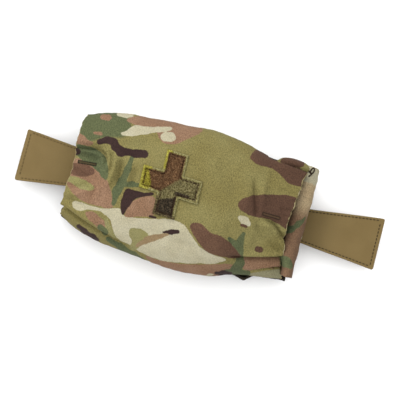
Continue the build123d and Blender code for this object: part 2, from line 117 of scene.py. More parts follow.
class Shader(Nodes):
    """A node material with short calls for the nodes used here."""

    def __init__(self, name, roughness=0.85, sheen=0.0, metallic=0.0, specular=0.12, alpha=1.0):
        self.material = bpy.data.materials.new(name)
        super().__init__(self.material)
        surface = self.node("BsdfPrincipled", {
            "Roughness": roughness, "Metallic": metallic, "Sheen Weight": sheen, "Sheen Roughness": 0.5,
            "Specular IOR Level": specular, "Alpha": alpha})
        self.inputs = surface.socket.node.inputs
        self.node("OutputMaterial", {0: surface}, None)

    def math(self, operation, a, b=0.0):
        return self.node("Math", {0: a, 1: b, 2: 0.0}, operation=operation)

    def wave(self, value, period):
        return self.math("SINE", value * (2 * math.pi / period))

    def stretch(self, vector, factors):
        return self.node("VectorMath", {0: vector, 1: factors}, operation="MULTIPLY")

    def coords(self):
        """Object coordinates in millimetres."""
        return self.stretch(self.node("TexCoord", {}, "Object"), (1 / MM,) * 3)

    def split(self, vector):
        """The x, y and z of a vector."""
        x = self.node("SeparateXYZ", {0: vector})
        return [Value(self, output) for output in x.socket.node.outputs]

    def attribute(self, name, output="Fac"):
        return self.node("Attribute", {}, output, attribute_name=name)

    def noise(self, where, scale, detail=2.0, rough=0.5):
        return self.node("TexNoise", {"Vector": where, "Scale": scale, "Detail": detail, "Roughness": rough},
                         "Fac")

    def ramp(self, value, low, high):
        """Smooth step from 0 at low to 1 at high."""
        return self.node("MapRange", {"Value": value, "From Min": low, "From Max": high},
                         interpolation_type="SMOOTHSTEP")

    def mix(self, share, a, b):
        return self.node("Mix", {0: share, 6: a, 7: b}, 2, data_type="RGBA")

    def shade(self, colour, amount):
        """Colour multiplied by a value."""
        return self.node("VectorMath", {0: colour, "Scale": amount}, operation="SCALE")

    def bump(self, height, distance, strength, **below):
        return self.node("Bump", {"Height": height, "Distance": distance * MM, "Strength": strength, **below})

    def finish(self, colour, normal=None, roughness=None):
        for key, value in (("Base Color", colour), ("Normal", normal), ("Roughness", roughness)):
            if value is not None:
                self.put(self.inputs[key], value)
        return self.material


def weave(s, where, pitch):
    """Height of a plain weave with the given thread pitch."""
    x, y, _ = s.split(where)
    return s.wave(x, pitch) * s.wave(y, pitch)


# the colours of the print, which on the front also paint a few patches of shade, in the order they lie over one
# another, each in two tones
PAINT = {
    "clay": ((146, 112, 86), (158, 124, 98)),
    "cream": ((194, 186, 155), (202, 195, 166)),
    "leaf": ((146, 140, 88), (152, 146, 98)),
    "tan": ((152, 128, 94), (160, 136, 102)),
    "sage": ((150, 146, 112), (158, 152, 118)),
    "green": ((90, 98, 68), (100, 106, 72)),
    "brown": ((108, 79, 62), (118, 88, 68)),
    "dark": ((56, 38, 36), (64, 46, 42)),
}
# the brown turns darker towards the right mouth: partly a darker dye, partly painted shade
RIGHT_BROWN_DYE_AND_SHADE = (95, 69, 54)  # towards the right mouth


def camouflage(name, ground=((136, 125, 74), (146, 137, 86)), shade=(98, 104, 70)):
    """Printed woven fabric; on the front panel a few of the blobs and the darker brown on the right are painted
    shade. Blob edges come from distance attributes, which noise then roughens.
    """
    s = Shader(name, roughness=0.9)
    cloth = s.attribute("cloth", "Vector")
    wide = s.noise(cloth, 0.03)
    wobble = (s.noise(cloth, 0.22) - 0.5) * 1.7 + (s.noise(cloth, 1.3) - 0.5) * 0.7
    tone = s.noise(cloth, 0.07)
    zone = s.attribute("print_zone") + (wide - 0.5) * 0.3
    colour = s.mix(s.ramp(zone, 0.2, 0.85), s.mix(s.ramp(wide, 0.35, 0.68), *ground), shade)
    for layer, tones in PAINT.items():
        paint = s.mix(s.ramp(tone, 0.3, 0.7), *tones)
        if layer == "brown":
            # towards the right mouth the brown darkens, partly darker dye and partly painted shade
            paint = s.mix(s.ramp(s.split(cloth)[0], 12, 42), paint, RIGHT_BROWN_DYE_AND_SHADE)
        cover = s.ramp(s.attribute("print_" + layer) + wobble, 0.28, -0.28)
        colour = s.mix(cover, colour, paint)
        if layer == "cream":
            calm = 1.0 - cover * 0.4  # the pale areas are less mottled
    grain = s.noise(cloth, 1.15, 2, 0.7) - 0.5
    threads = s.noise(s.stretch(cloth, (2.6, 0.45, 1)), 1.0, 1) - 0.5
    colour = s.shade(colour, 1.0 + (grain * 1.7 + threads * 1.0) * calm)
    under = s.bump(s.noise(cloth, 0.28, 3, 0.6), 0.5, 0.5)
    return s.finish(colour, s.bump(weave(s, cloth, 0.62) + grain * 3.0, 0.12, 0.6, Normal=under))


def cloth_plain(name, colour, worn, pitch, bump):
    """Woven cloth of one colour."""
    s = Shader(name, roughness=0.9, sheen=0.03)
    place = s.coords()
    grain = s.noise(place, 1.5, 2, 0.6)
    tone = s.mix(s.ramp(s.noise(place, 0.1, 3), 0.35, 0.7), colour, worn)
    return s.finish(s.shade(tone, 0.84 + grain * 0.32), s.bump(weave(s, place, pitch) + grain, bump, 0.6))


def webbing(name, colour, worn, along, rib):
    """Woven strap with ribs across its length and fine threads along it."""
    s = Shader(name, roughness=0.9, sheen=0.02)
    place = s.coords()
    x, y, _ = s.split(place)
    run, across = (y, x) if along == "y" else (x, y)
    threads = s.wave(run * 0.9 + across * 1.8, 1.6)
    height = s.math("ABSOLUTE", s.wave(run, 2 * rib)) + (threads * 0.4 + s.noise(place, 1.2, 2, 0.6))
    tone = s.mix(s.ramp(s.noise(place, 0.09, 3), 0.35, 0.7), colour, worn)
    return s.finish(s.shade(tone, 0.72 + height * 0.16), s.bump(height, 0.16, 0.7))


def moulded(name, colour, worn, roughness, grain, metallic=0.0, bump=0.03):
    """Moulded plastic, rubber or metal with a fine surface grain and rubbed patches."""
    s = Shader(name, roughness=roughness, metallic=metallic)
    place = s.coords()
    rub = s.noise(place, 0.12, 4, 0.6)
    return s.finish(s.mix(s.ramp(rub, 0.5, 0.75), colour, worn),
                    s.bump(s.noise(place, grain, 3, 0.6), bump, 0.6),
                    (roughness - 0.08) + rub * 0.22)


def laminate(name, colour, worn):
    """Laminated fabric: smooth coating over a faint thread grain, soft blotches, scuffed edges."""
    s = Shader(name)
    place = s.coords()
    blotch = s.noise(place, 0.035, 3)
    fleck = s.noise(place, 0.9, 3, 0.65)
    tone = s.shade(s.mix(s.ramp(blotch, 0.3, 0.72), colour, worn), 0.92 + fleck * 0.16)
    under = s.bump(blotch, 0.6, 0.25)
    return s.finish(tone, s.bump(weave(s, place, 0.7) + fleck, 0.05, 0.5, Normal=under), 0.55 + fleck * 0.18)


def thread(name, *levels):
    """Twisted sewing thread."""
    s = Shader(name, sheen=0.02)
    twist = s.noise(s.coords(), 2.4, 2, 0.6)
    return s.finish(s.shade(rgb(*levels)[:3], 0.75 + twist * 0.5), s.bump(twist, 0.06, 0.6))


# ---- Mesh helpers ----

def xyz(x, y, z):
    """Points from their coordinates, any of which may be a single number."""
    return np.stack(np.broadcast_arrays(x, y, z), -1).astype(float)


def unit(vectors):
    return vectors / (np.linalg.norm(vectors, axis=-1, keepdims=True) + 1e-9)


def run_length(path):
    """Length from the start of a path to each of its points."""
    return np.concatenate([[0], np.cumsum(np.linalg.norm(np.diff(path, axis=0), axis=-1))])


def mesh_object(name, points, faces, *materials):
    mesh = bpy.data.meshes.new(name)
    mesh.from_pydata((np.asarray(points, float).reshape(-1, 3) * MM).tolist(), [], faces)
    for material in materials:
        mesh.materials.append(material)
    mesh.polygons.foreach_set("use_smooth", [True] * len(mesh.polygons))
    obj = bpy.data.objects.new(name, mesh)
    bpy.context.scene.collection.objects.link(obj)
    return obj


def grid_faces(rows, cols, close_rows=False, close_cols=False):
    i = np.arange(rows if close_rows else rows - 1)[:, None]
    j = np.arange(cols if close_cols else cols - 1)[None, :]
    i2, j2 = (i + 1) % rows, (j + 1) % cols
    return np.stack([i * cols + j, i2 * cols + j, i2 * cols + j2, i * cols + j2], -1).reshape(-1, 4).tolist()


def sheet(name, points, *materials):
    """Object from a grid of points."""
    return mesh_object(name, points, grid_faces(*points.shape[:2]), *materials)


def joined(name, parts, *materials):
    """One object from several (points, faces) pairs."""
    points, faces, first = [], [], 0
    for p, f in parts:
        points.append(p)
        faces += [[v + first for v in face] for face in f]
        first += len(p)
    return mesh_object(name, np.vstack(points), faces, *materials)


def give(obj, name, values, kind="FLOAT"):
    """Stores one value or vector for each vertex."""
    attribute = obj.data.attributes.new(name, kind, "POINT")
    attribute.data.foreach_set("vector" if kind == "FLOAT_VECTOR" else "value",
                               np.ravel(values).astype(np.float32))


def thicken(obj, thickness, offset=-1.0, rim=0, rounding=0.0):
    """Turns a sheet into cloth of some thickness, with rounded edges if asked for."""
    solid = obj.modifiers.new("thickness", "SOLIDIFY")
    solid.thickness = thickness * MM
    solid.offset = offset
    solid.material_offset_rim = rim
    solid.use_even_offset = False
    if rounding:
        edge = obj.modifiers.new("edges", "BEVEL")
        edge.width = rounding * MM
        edge.segments = 2
        edge.limit_method = "ANGLE"
        edge.angle_limit = math.radians(50)
    graph = bpy.context.evaluated_depsgraph_get()
    mesh = bpy.data.meshes.new_from_object(obj.evaluated_get(graph))
    obj.modifiers.clear()
    obj.data = mesh
    return obj


def keep(piece, body, slot, *nodes):
    """Rides a piece on its body and hides the CAD nodes that it stands for. slot is not used."""
    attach(piece, body)
    if nodes:
        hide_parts(*nodes)


def ripple(x, y, scale, seed):
    """Smooth pseudo-random field from a few sine waves, about -1 to 1."""
    r = np.random.default_rng(seed)
    total = np.zeros(np.broadcast(x, y).shape)
    for _ in range(7):
        angle = r.uniform(0, math.pi)
        freq = 2 * math.pi / scale * r.uniform(0.6, 1.7)
        total += np.sin(freq * (x * math.cos(angle) + y * math.sin(angle)) + r.uniform(0, 7))
    return total / 3.5


def smooth(t):
    t = np.clip(t, 0, 1)
    return t * t * (3 - 2 * t)


def through(x, *knots):
    """Smooth curve through (position, value) knots."""
    kx, ky = np.array(knots, float).T
    slope = np.gradient(ky, kx)
    i = np.clip(np.searchsorted(kx, x) - 1, 0, len(kx) - 2)
    h = kx[i + 1] - kx[i]
    s = np.clip((x - kx[i]) / h, 0, 1)
    rise = s * s * (3 - 2 * s)
    return (1 - rise) * ky[i] + rise * ky[i + 1] + h * s * (1 - s) * ((1 - s) * slope[i] - s * slope[i + 1])


def to_segment(x, y, a, b):
    """Distance from points to the line from a to b, and the share of the line at the nearest place."""
    (ax, ay), (bx, by) = a, b
    t = np.clip(((x - ax) * (bx - ax) + (y - ay) * (by - ay)) / max((bx - ax) ** 2 + (by - ay) ** 2, 1e-9),
                0, 1)
    return np.hypot(x - ax - t * (bx - ax), y - ay - t * (by - ay)), t


def along(x, y, path):
    """Distance from points to a path, and the share of the path's length at the nearest place."""
    starts = run_length(path)
    best, share = np.full(np.shape(x), np.inf), np.zeros(np.shape(x))
    for a, b, start, end in zip(path[:-1], path[1:], starts[:-1], starts[1:]):
        d, t = to_segment(x, y, a, b)
        share = np.where(d < best, (start + t * (end - start)) / starts[-1], share)
        best = np.minimum(best, d)
    return best, share


def blob(x, y, *spots):
    """Signed distance to a rounded shape that runs through spots of (x, y, radius)."""
    result = None
    for a, b in zip(spots[:-1], spots[1:]):
        d, t = to_segment(x, y, a[:2], b[:2])
        d -= a[2] + t * (b[2] - a[2])
        if result is not None:
            h = np.clip(0.5 + 0.5 * (d - result) / BLEND, 0, 1)
            d = d * (1 - h) + result * h - BLEND * h * (1 - h)
        result = d
    return result


def patch(x, y, *corners):
    """Signed distance to a closed outline whose corners are cut round. Far points are only known to be far."""
    ring = np.array(corners, float)
    for _ in range(2):
        after = np.roll(ring, -1, 0)
        ring = np.stack([0.75 * ring + 0.25 * after, 0.25 * ring + 0.75 * after], 1).reshape(-1, 2)
    low, high = ring.min(0) - 6, ring.max(0) + 6
    near = (x > low[0]) & (x < high[0]) & (y > low[1]) & (y < high[1])
    px, py = x[near], y[near]
    reach, inside = np.full(px.shape, np.inf), np.zeros(px.shape, bool)
    for a, b in zip(ring, np.roll(ring, -1, 0)):
        reach = np.minimum(reach, to_segment(px, py, a, b)[0])
        if b[1] != a[1]:
            inside ^= ((a[1] > py) != (b[1] > py)) & (px < a[0] + (py - a[1]) / (b[1] - a[1]) * (b[0] - a[0]))
    field = np.full(x.shape, FAR)
    field[near] = np.where(inside, -reach, reach)
    return field


def print_on(obj, x, w, shapes, zone, height, *beyond):
    """Gives a mesh its fabric coordinates and the distance to each shape by colour: printed shapes, and on the
    front a few patches of painted shade.
    """
    give(obj, "cloth", xyz(x, w, 0), "FLOAT_VECTOR")
    give(obj, "print_zone", zone)
    for layer in PAINT:
        field = np.full(x.shape, FAR)
        for across, group in ((height, shapes), *beyond):
            for spots in group.get(layer, ()):
                field = np.minimum(field, (blob if len(spots[0]) == 3 else patch)(x, across, *spots))
        give(obj, "print_" + layer, np.clip(field, -FAR, FAR))


def tube(path, radius, sides=8, closed=False):
    """Points and faces of a round cord along a path. radius may vary along it."""
    path = np.asarray(path, float)
    n = len(path)
    ahead = np.roll(path, -1, 0) if closed else np.vstack([path[1:], path[-1:]])
    behind = np.roll(path, 1, 0) if closed else np.vstack([path[:1], path[:-1]])
    direction = unit(ahead - behind)
    side = unit(np.cross(direction, (0, 1, 0) if abs(direction[:, 2]).mean() > 0.8 else (0, 0, 1)))
    up = np.cross(side, direction)
    a = np.linspace(0, 2 * math.pi, sides, endpoint=False)[None, :, None]
    ring = side[:, None] * np.cos(a) + up[:, None] * np.sin(a)
    points = path[:, None] + ring * np.broadcast_to(radius, n)[:, None, None]
    faces = grid_faces(n, sides, close_rows=closed, close_cols=True)
    if not closed:
        faces += [list(range(sides))[::-1], list(range((n - 1) * sides, n * sides))]
    return points.reshape(-1, 3), faces


def stitch(a, b, normal, radius):
    """One sewn stitch from a to b that stands out of the cloth along normal."""
    s = np.linspace(0, 1, 6)
    lift = np.sin(math.pi * s) * radius * 1.1 - 0.15
    path = np.linspace(a, b, 6) + np.asarray(normal) * lift[:, None]
    return tube(path, radius * (0.55 + 0.45 * np.sin(math.pi * s)), 6)


def seam(line, normal, pitch, fill, radius):
    """Stitches of even length along a line of surface points."""
    run = run_length(line)
    parts = []
    for k in range(int(run[-1] / pitch)):
        a, b = (np.array([np.interp(at * pitch, run, c) for c in np.transpose(line)]) for at in (k, k + fill))
        parts.append(stitch(a, b, normal, radius))
    return parts


def tack_row(start, end, normal, across, width):
    """Zigzag of thread along a straight line."""
    count = int(math.dist(start, end) / 0.7)
    line, sway = np.linspace(start, end, count + 1), np.array(across) * width / 2
    return [stitch(a + sway, b - sway, normal, 0.26) for a, b in zip(line[:-1], line[1:])]


def rounded(path, radius, step):
    """Path with its corners rounded, in even steps."""
    path = np.array(path, float)
    out = [path[0]]
    for before, at, after in zip(path[:-2], path[1:-1], path[2:]):
        to, on = at - before, after - at
        r = min(radius, 0.49 * np.linalg.norm(to), 0.49 * np.linalg.norm(on))
        s = np.linspace(0, 1, 9)[:, None]
        out += list((1 - s) ** 2 * (at - unit(to) * r) + 2 * s * (1 - s) * at + s * s * (at + unit(on) * r))
    out = np.array(out + [path[-1]])
    run = run_length(out)
    at = np.linspace(0, run[-1], max(int(run[-1] / step), 6))
    return np.stack([np.interp(at, run, c) for c in out.T], -1)


def surface_normals(points):
    return unit(np.cross(np.gradient(points, axis=0), np.gradient(points, axis=1)))


def strip(name, path, low, high, thickness, material, sway, seed, rounding=0.0, step=1.6, plane="yz"):
    """Flat cloth or webbing: a path in the yz or xz plane, carried from low to high along the other axis."""
    across = np.linspace(low, high, max(int((high - low) / step), 4))[None, :]
    run, (a, z) = run_length(path)[:, None], np.transpose(path)[:, :, None]
    points = xyz(across, a, z) if plane == "yz" else xyz(a, across, z)
    points += surface_normals(points) * (sway * ripple(run, across, 18, seed))[..., None]
    return thicken(sheet(name, points, material), thickness, offset=0.0, rounding=rounding)


def plan(y, z):
    """Height of a point in the plane square to the view."""
    return y * math.cos(TILT) + (z - PLAN_Z) * math.sin(TILT)


# ---- Materials shared by the pieces ----

CAMO = camouflage("camouflage_fabric")
CUT_EDGE = cloth_plain("cut_edge_thread", (176, 160, 112), (196, 184, 142), 0.5, 0.2)
LAMINATE = laminate("tab_laminate", (126, 105, 63), (135, 114, 71))
TAB_THREAD = thread("tab_thread", 92, 74, 42)

# ---- Front panel ----

LEFT_X, RIGHT_X = -94.6, 68.6
COLUMNS, GIRTH = 210, 236
HALF = GIRTH // 2
FOOT_Z = 8.4  # where the panel meets the seam bindings


def panel_section(x):
    """Girth line of the front panel at x, from the lower seam over the crown to the upper seam."""
    low_foot = -through(x, (-95, 35), (-85, 39.2), (-70, 41), (40, 41), (60, 40.4), (69, 39.4))
    high_foot = through(x, (-95, 37), (-85, 39.2), (-70, 41), (69, 41))
    low = through(x, (-95, -35.8), (-85, -41.6), (-63, -48.4), (-50, -50.2), (-31, -52.6), (-13, -54.8),
                  (6, -54.6), (23, -52), (33, -47.8), (40, -45.8), (46, -44.8), (52, -43.9), (69, -40.6))
    high = through(x, (-95, 36.2), (-83, 40.2), (-74, 42.6), (-64, 44.4), (-54, 45.1), (-39, 45.9),
                   (-20, 46.8),
                   (3, 48), (16, 46.2), (30, 43), (46, 40.8), (52, 42.6), (58, 43.2), (64, 42.2), (69, 39.8))
    low_z = through(x, (-95, 19), (-70, 20), (-20, 23), (30, 20), (69, 15))
    high_z = through(x, (-95, 24), (-50, 28), (0, 30), (40, 27), (69, 25))
    crown_y = through(x, (-95, 2), (-50, -1), (0, -2), (40, 2), (69, 6))
    crown_z = through(x, (-95, 46.5), (-84, 49), (-66, 53.4), (-45, 56), (-18, 57.3), (8, 57),
                      (28, 54.6), (44, 50.6), (58, 47.6), (69, 45.6))
    low_n = through(x, (-95, 2.2), (-70, 2.25), (-30, 2.3), (10, 2.3), (45, 2.1), (69, 1.9))
    high_n = through(x, (-95, 3.2), (-60, 2.7), (-10, 2.4), (40, 2.7), (69, 3.3))
    q = np.linspace(0, math.pi / 2, 90)
    halves = []
    for foot, wide, wide_z, n in ((low_foot, low, low_z, low_n), (high_foot, high, high_z, high_n)):
        side_y = foot + (wide - foot) * np.sin(q)
        side_z = FOOT_Z + (wide_z - FOOT_Z) * (1 - np.cos(q))
        top_y = crown_y + (wide - crown_y) * np.cos(q) ** (2 / n)
        top_z = wide_z + (crown_z - wide_z) * np.sin(q) ** (2 / n)
        halves.append(np.stack([np.r_[side_y, top_y[1:]], np.r_[side_z, top_z[1:]]], -1))
    line = np.vstack([halves[0], halves[1][::-1][1:]])
    run = run_length(line)
    at = np.linspace(0, run[-1], GIRTH)
    y, z = (np.interp(at, run, c) for c in line.T)
    return y, z, at - run[len(halves[0]) - 1] + plan(crown_y, crown_z)


# Folds: width, height above the cloth (below when negative), the shares of the length over which the fold
# fades in and out, and its path in plan coordinates.
FOLDS = (
    # lower edge of the front face, from the left mouth to where it meets the outline
    (1.2, -4.6, 0, 0.3, (-99, -28.5), (-88, -31.5), (-78, -35), (-62, -40.3), (-46, -44.6), (-30, -49.2)),
    (2.4, 1.9, 0, 0.3, (-99, -25.5), (-84, -29.3), (-66, -35.5), (-44, -41.5)),
    # the cloth above the left tack folds over the hollow below it
    (1.2, -3.6, 0, 0.25, (-99, 14), (-90, 15), (-84, 16), (-78, 17), (-73, 15), (-70.5, 11), (-70, 5)),
    (2, 2.8, 0, 0.25, (-99, 17.8), (-90, 18.8), (-83, 20.2), (-77, 20.8), (-72, 18.5)),
    (1.2, 2.2, 0.3, 0.4, (-77, 14), (-73.5, 10.5), (-71.8, 4)),
    (1.2, -2.8, 0.25, 0.4, (-71.5, 19.5), (-67.5, 14), (-66, 7), (-67, -1)),
    (2.1, 3.6, 0.25, 0.4, (-66, 17.5), (-63.8, 12), (-63.3, 4), (-64.6, -5), (-66, -12)),
    (1.6, -2.9, 0.3, 0.4, (-60.5, 16.5), (-59, 10), (-58.3, 2), (-58.5, -9)),
    (2.2, 2.6, 0.3, 0.4, (-54, 15.5), (-52.6, 8), (-52.2, 0), (-54, -8)),
    (1.6, -0.9, 0.3, 0.4, (-48.5, 13), (-47.5, 4), (-48, -4)),
    (1.4, -1.6, 0, 0.4, (-99, -1), (-90, -1.5), (-83, -3), (-77, -7)),
    (1.8, 1.3, 0, 0.4, (-98, -5), (-89, -5.5), (-81, -9)),
    (1.3, -1.7, 0.1, 0.4, (-96, -14), (-88, -13), (-81, -9), (-76, -3)),
    (2, 1.4, 0.2, 0.4, (-94, -19), (-85, -18), (-77, -13), (-72, -5)),
    (1.3, -1.2, 0.3, 0.4, (-74, -6), (-73, -13), (-75, -21)),
    (1.3, -0.9, 0.3, 0.4, (-69, -8), (-67.5, -14), (-69, -21)),
    (1.6, -1.1, 0, 0.4, (-97, -22), (-86, -23.5), (-74, -27)),
    # soft upright fold on the right
    (1.8, -3.3, 0.4, 0.15, (33, 28), (36, 18), (38.5, 10), (40.5, 3), (42, -3)),
    (3, 1.6, 0.35, 0.35, (40, 24), (43, 12), (45.5, 4)),
    (3, 0.8, 0.35, 0.35, (28, 16), (32, 8), (34, -2)),
    # creases that run from it to the right mouth
    (1.2, -3, 0.35, 0, (42, -1), (49, -1.5), (56, -3.6), (62, -7), (70, -13)),
    (2, 2.5, 0.3, 0, (42, -5), (51, -6), (58, -9.2), (64, -13), (70, -18)),
    (2.4, -1.5, 0.2, 0.1, (40, -3.5), (46, -10), (54, -15.2), (62, -19.4), (71, -23)),
    (1.8, 0.9, 0.3, 0.2, (48, -17), (56, -20), (66, -23)),
    (1.5, -0.9, 0.4, 0, (50, 21), (58, 22), (68, 21)),
    (1.4, -1, 0.4, 0, (56, 10), (62, 8), (70, 9)),
    # shelf and pleats at the lower right
    (1.2, -5.4, 0.3, 0, (26, -35.5), (34, -33.4), (46, -31), (58, -28.2), (75, -25)),
    (1.9, 2.2, 0.3, 0, (28, -31.5), (42, -28.8), (56, -25.4), (72, -22)),
    (1, -3.6, 0.25, 0, (42, -42.5), (50, -39), (60, -35), (75, -30.4)),
    (1.5, 1.6, 0.3, 0, (40, -39.5), (50, -36.6), (62, -32), (74, -28)),
    # upper right, where the side wall folds out
    (1.2, -5, 0.25, 0, (38, 44), (46, 41.8), (54, 40.8), (62, 40.2), (75, 38.8)),
    (1.9, 1.6, 0.3, 0.1, (38, 41), (50, 38.4), (62, 37.4), (73, 36.4)),
    # soft puckers
    (5, 0.9, 0.3, 0.3, (-40, 30), (-20, 33), (0, 34)),
    (7, -1.8, 0.3, 0.3, (4, 30), (18, 20), (27, 6)),
    (4, -1.1, 0.3, 0.3, (-40, -27), (-24, -30), (-8, -34), (12, -33)),
    (4, 0.8, 0.3, 0.3, (-14, -22), (2, -26), (16, -32)),
    (3, -1.2, 0.3, 0.3, (22, -10), (28, -20), (31, -30)),
    (3.5, 0.7, 0.3, 0.3, (-44, 22), (-36, 14), (-33, 4)),
)


def build_front_panel():
    x = np.linspace(LEFT_X, RIGHT_X, COLUMNS)
    y, z, w = np.transpose([panel_section(v) for v in x], (1, 0, 2))
    points = xyz(x[:, None], y, z)
    x = points[:, :, 0].copy()
    normals = surface_normals(points)
    p = plan(y, z)

    # hollow that draws the left mouth down on to the pull tab, and the flattened hem on the right
    push = -5.2 * smooth((-69 - x) / 12) * smooth((13.4 - p) / 2.6) * smooth((p + 16) / 13)
    push -= 0.9 * smooth((x - 41) / 5) * smooth((p + 27) / 6) * smooth((37 - p) / 6)
    for width, height, start, end, *path in FOLDS:
        d, share = along(x, p, path)
        fade = (smooth(share / start) if start else 1) * (smooth((1 - share) / end) if end else 1)
        push += height * fade * np.exp(-((d / width) ** 2) ** 0.8)
    push += 0.28 * ripple(x, w, 26, 3) + 0.14 * ripple(x, w, 9, 4)
    push += smooth((np.abs(x + 13) - 72) / 10) * 0.35 * ripple(x * 0.3, w, 7, 5)
    points += normals * (push * smooth((z - 11) / 7))[:, :, None]

    # outline of the two mouths
    stray = through(p, (-60, 2), (-39, 1.2), (-34, -0.9), (-28, -3), (-22, -2.5), (-11, -4.1), (-1, -4.8),
                    (13, -3.4),
                    (25, -1.8), (33, -1.2), (37.5, -0.2), (42, 2.2), (60, 2.4))
    points[:, :, 0] += smooth((x - 52) / 17) * (
        stray + 0.45 * ripple(w, 0, 6, 8) + 0.3 * ripple(w, 0, 2.6, 9))
    points[:, :, 0] += smooth((-80 - x) / 14) * (
        0.5 + 0.4 * smooth((-31 - p) / 6) + 1.6 * smooth((p - 33) / 6) + 1.3 * np.exp(-((p + 29.6) / 1.2) ** 2)
        + 0.35 * ripple(w, 0, 9, 10))
    return points, w


panel_points, panel_w = build_front_panel()
panel_x = panel_points[:, :, 0]
panel_plan = plan(panel_points[:, :, 1], panel_points[:, :, 2])
panel_normals = surface_normals(panel_points)
panel_grid = np.concatenate([panel_points, panel_normals], -1)
# the stretch of the girth that faces the view, from its lower to its upper edge
face_start = panel_plan[:, :HALF].argmin(1)
face_end = HALF + panel_plan[:, HALF:].argmax(1)
face_heights = [np.maximum.accumulate(panel_plan[k, face_start[k]:face_end[k]]) for k in range(COLUMNS)]


def on_panel(x, p):
    """Points and normals on the front panel's upper face at plan positions (x, p)."""
    spots = []
    for a, b in zip(np.ravel(x), np.ravel(p)):
        i = np.clip((a - LEFT_X) / (RIGHT_X - LEFT_X) * (COLUMNS - 1), 0, COLUMNS - 1.001)
        spot = 0
        for k, share in ((int(i), 1 - i % 1), (int(i) + 1, i % 1)):
            j = face_start[k] + np.interp(b, face_heights[k], np.arange(len(face_heights[k])))
            spot = spot + share * (panel_grid[k, int(j)] * (1 - j % 1) + panel_grid[k, int(j) + 1] * (j % 1))
        spots.append(spot)
    spots = np.array(spots)
    return spots[:, :3], unit(spots[:, 3:])


SCATTER_ORDER = ("clay", "green", "cream", "brown", "dark", "green", "cream", "clay")


def scatter(seed, count=18):
    """Random blobs for the cloth that faces away from the view, by length along and beyond the face."""
    r = np.random.default_rng(seed)
    shapes = {layer: [] for layer in PAINT}
    for k in range(count):
        layer = SCATTER_ORDER[k % len(SCATTER_ORDER)]
        reaches, sizes = ((5, 9), (1.2, 2.2)) if layer == "dark" else ((6, 16), (2.4, 5.5))
        x, w, reach, size = r.uniform(-95, 69), r.uniform(7, 24), r.uniform(*reaches), r.uniform(*sizes)
        turn = r.uniform(-0.5, 0.5)
        spots = [(x, w, size)]
        for _ in range(2):
            x, w = x + reach * math.cos(turn), w + reach * math.sin(turn)
            turn += r.uniform(-0.9, 0.9)
            spots.append((x, w, size * r.uniform(0.5, 1.1)))
        shapes[layer].append(spots)
    return shapes
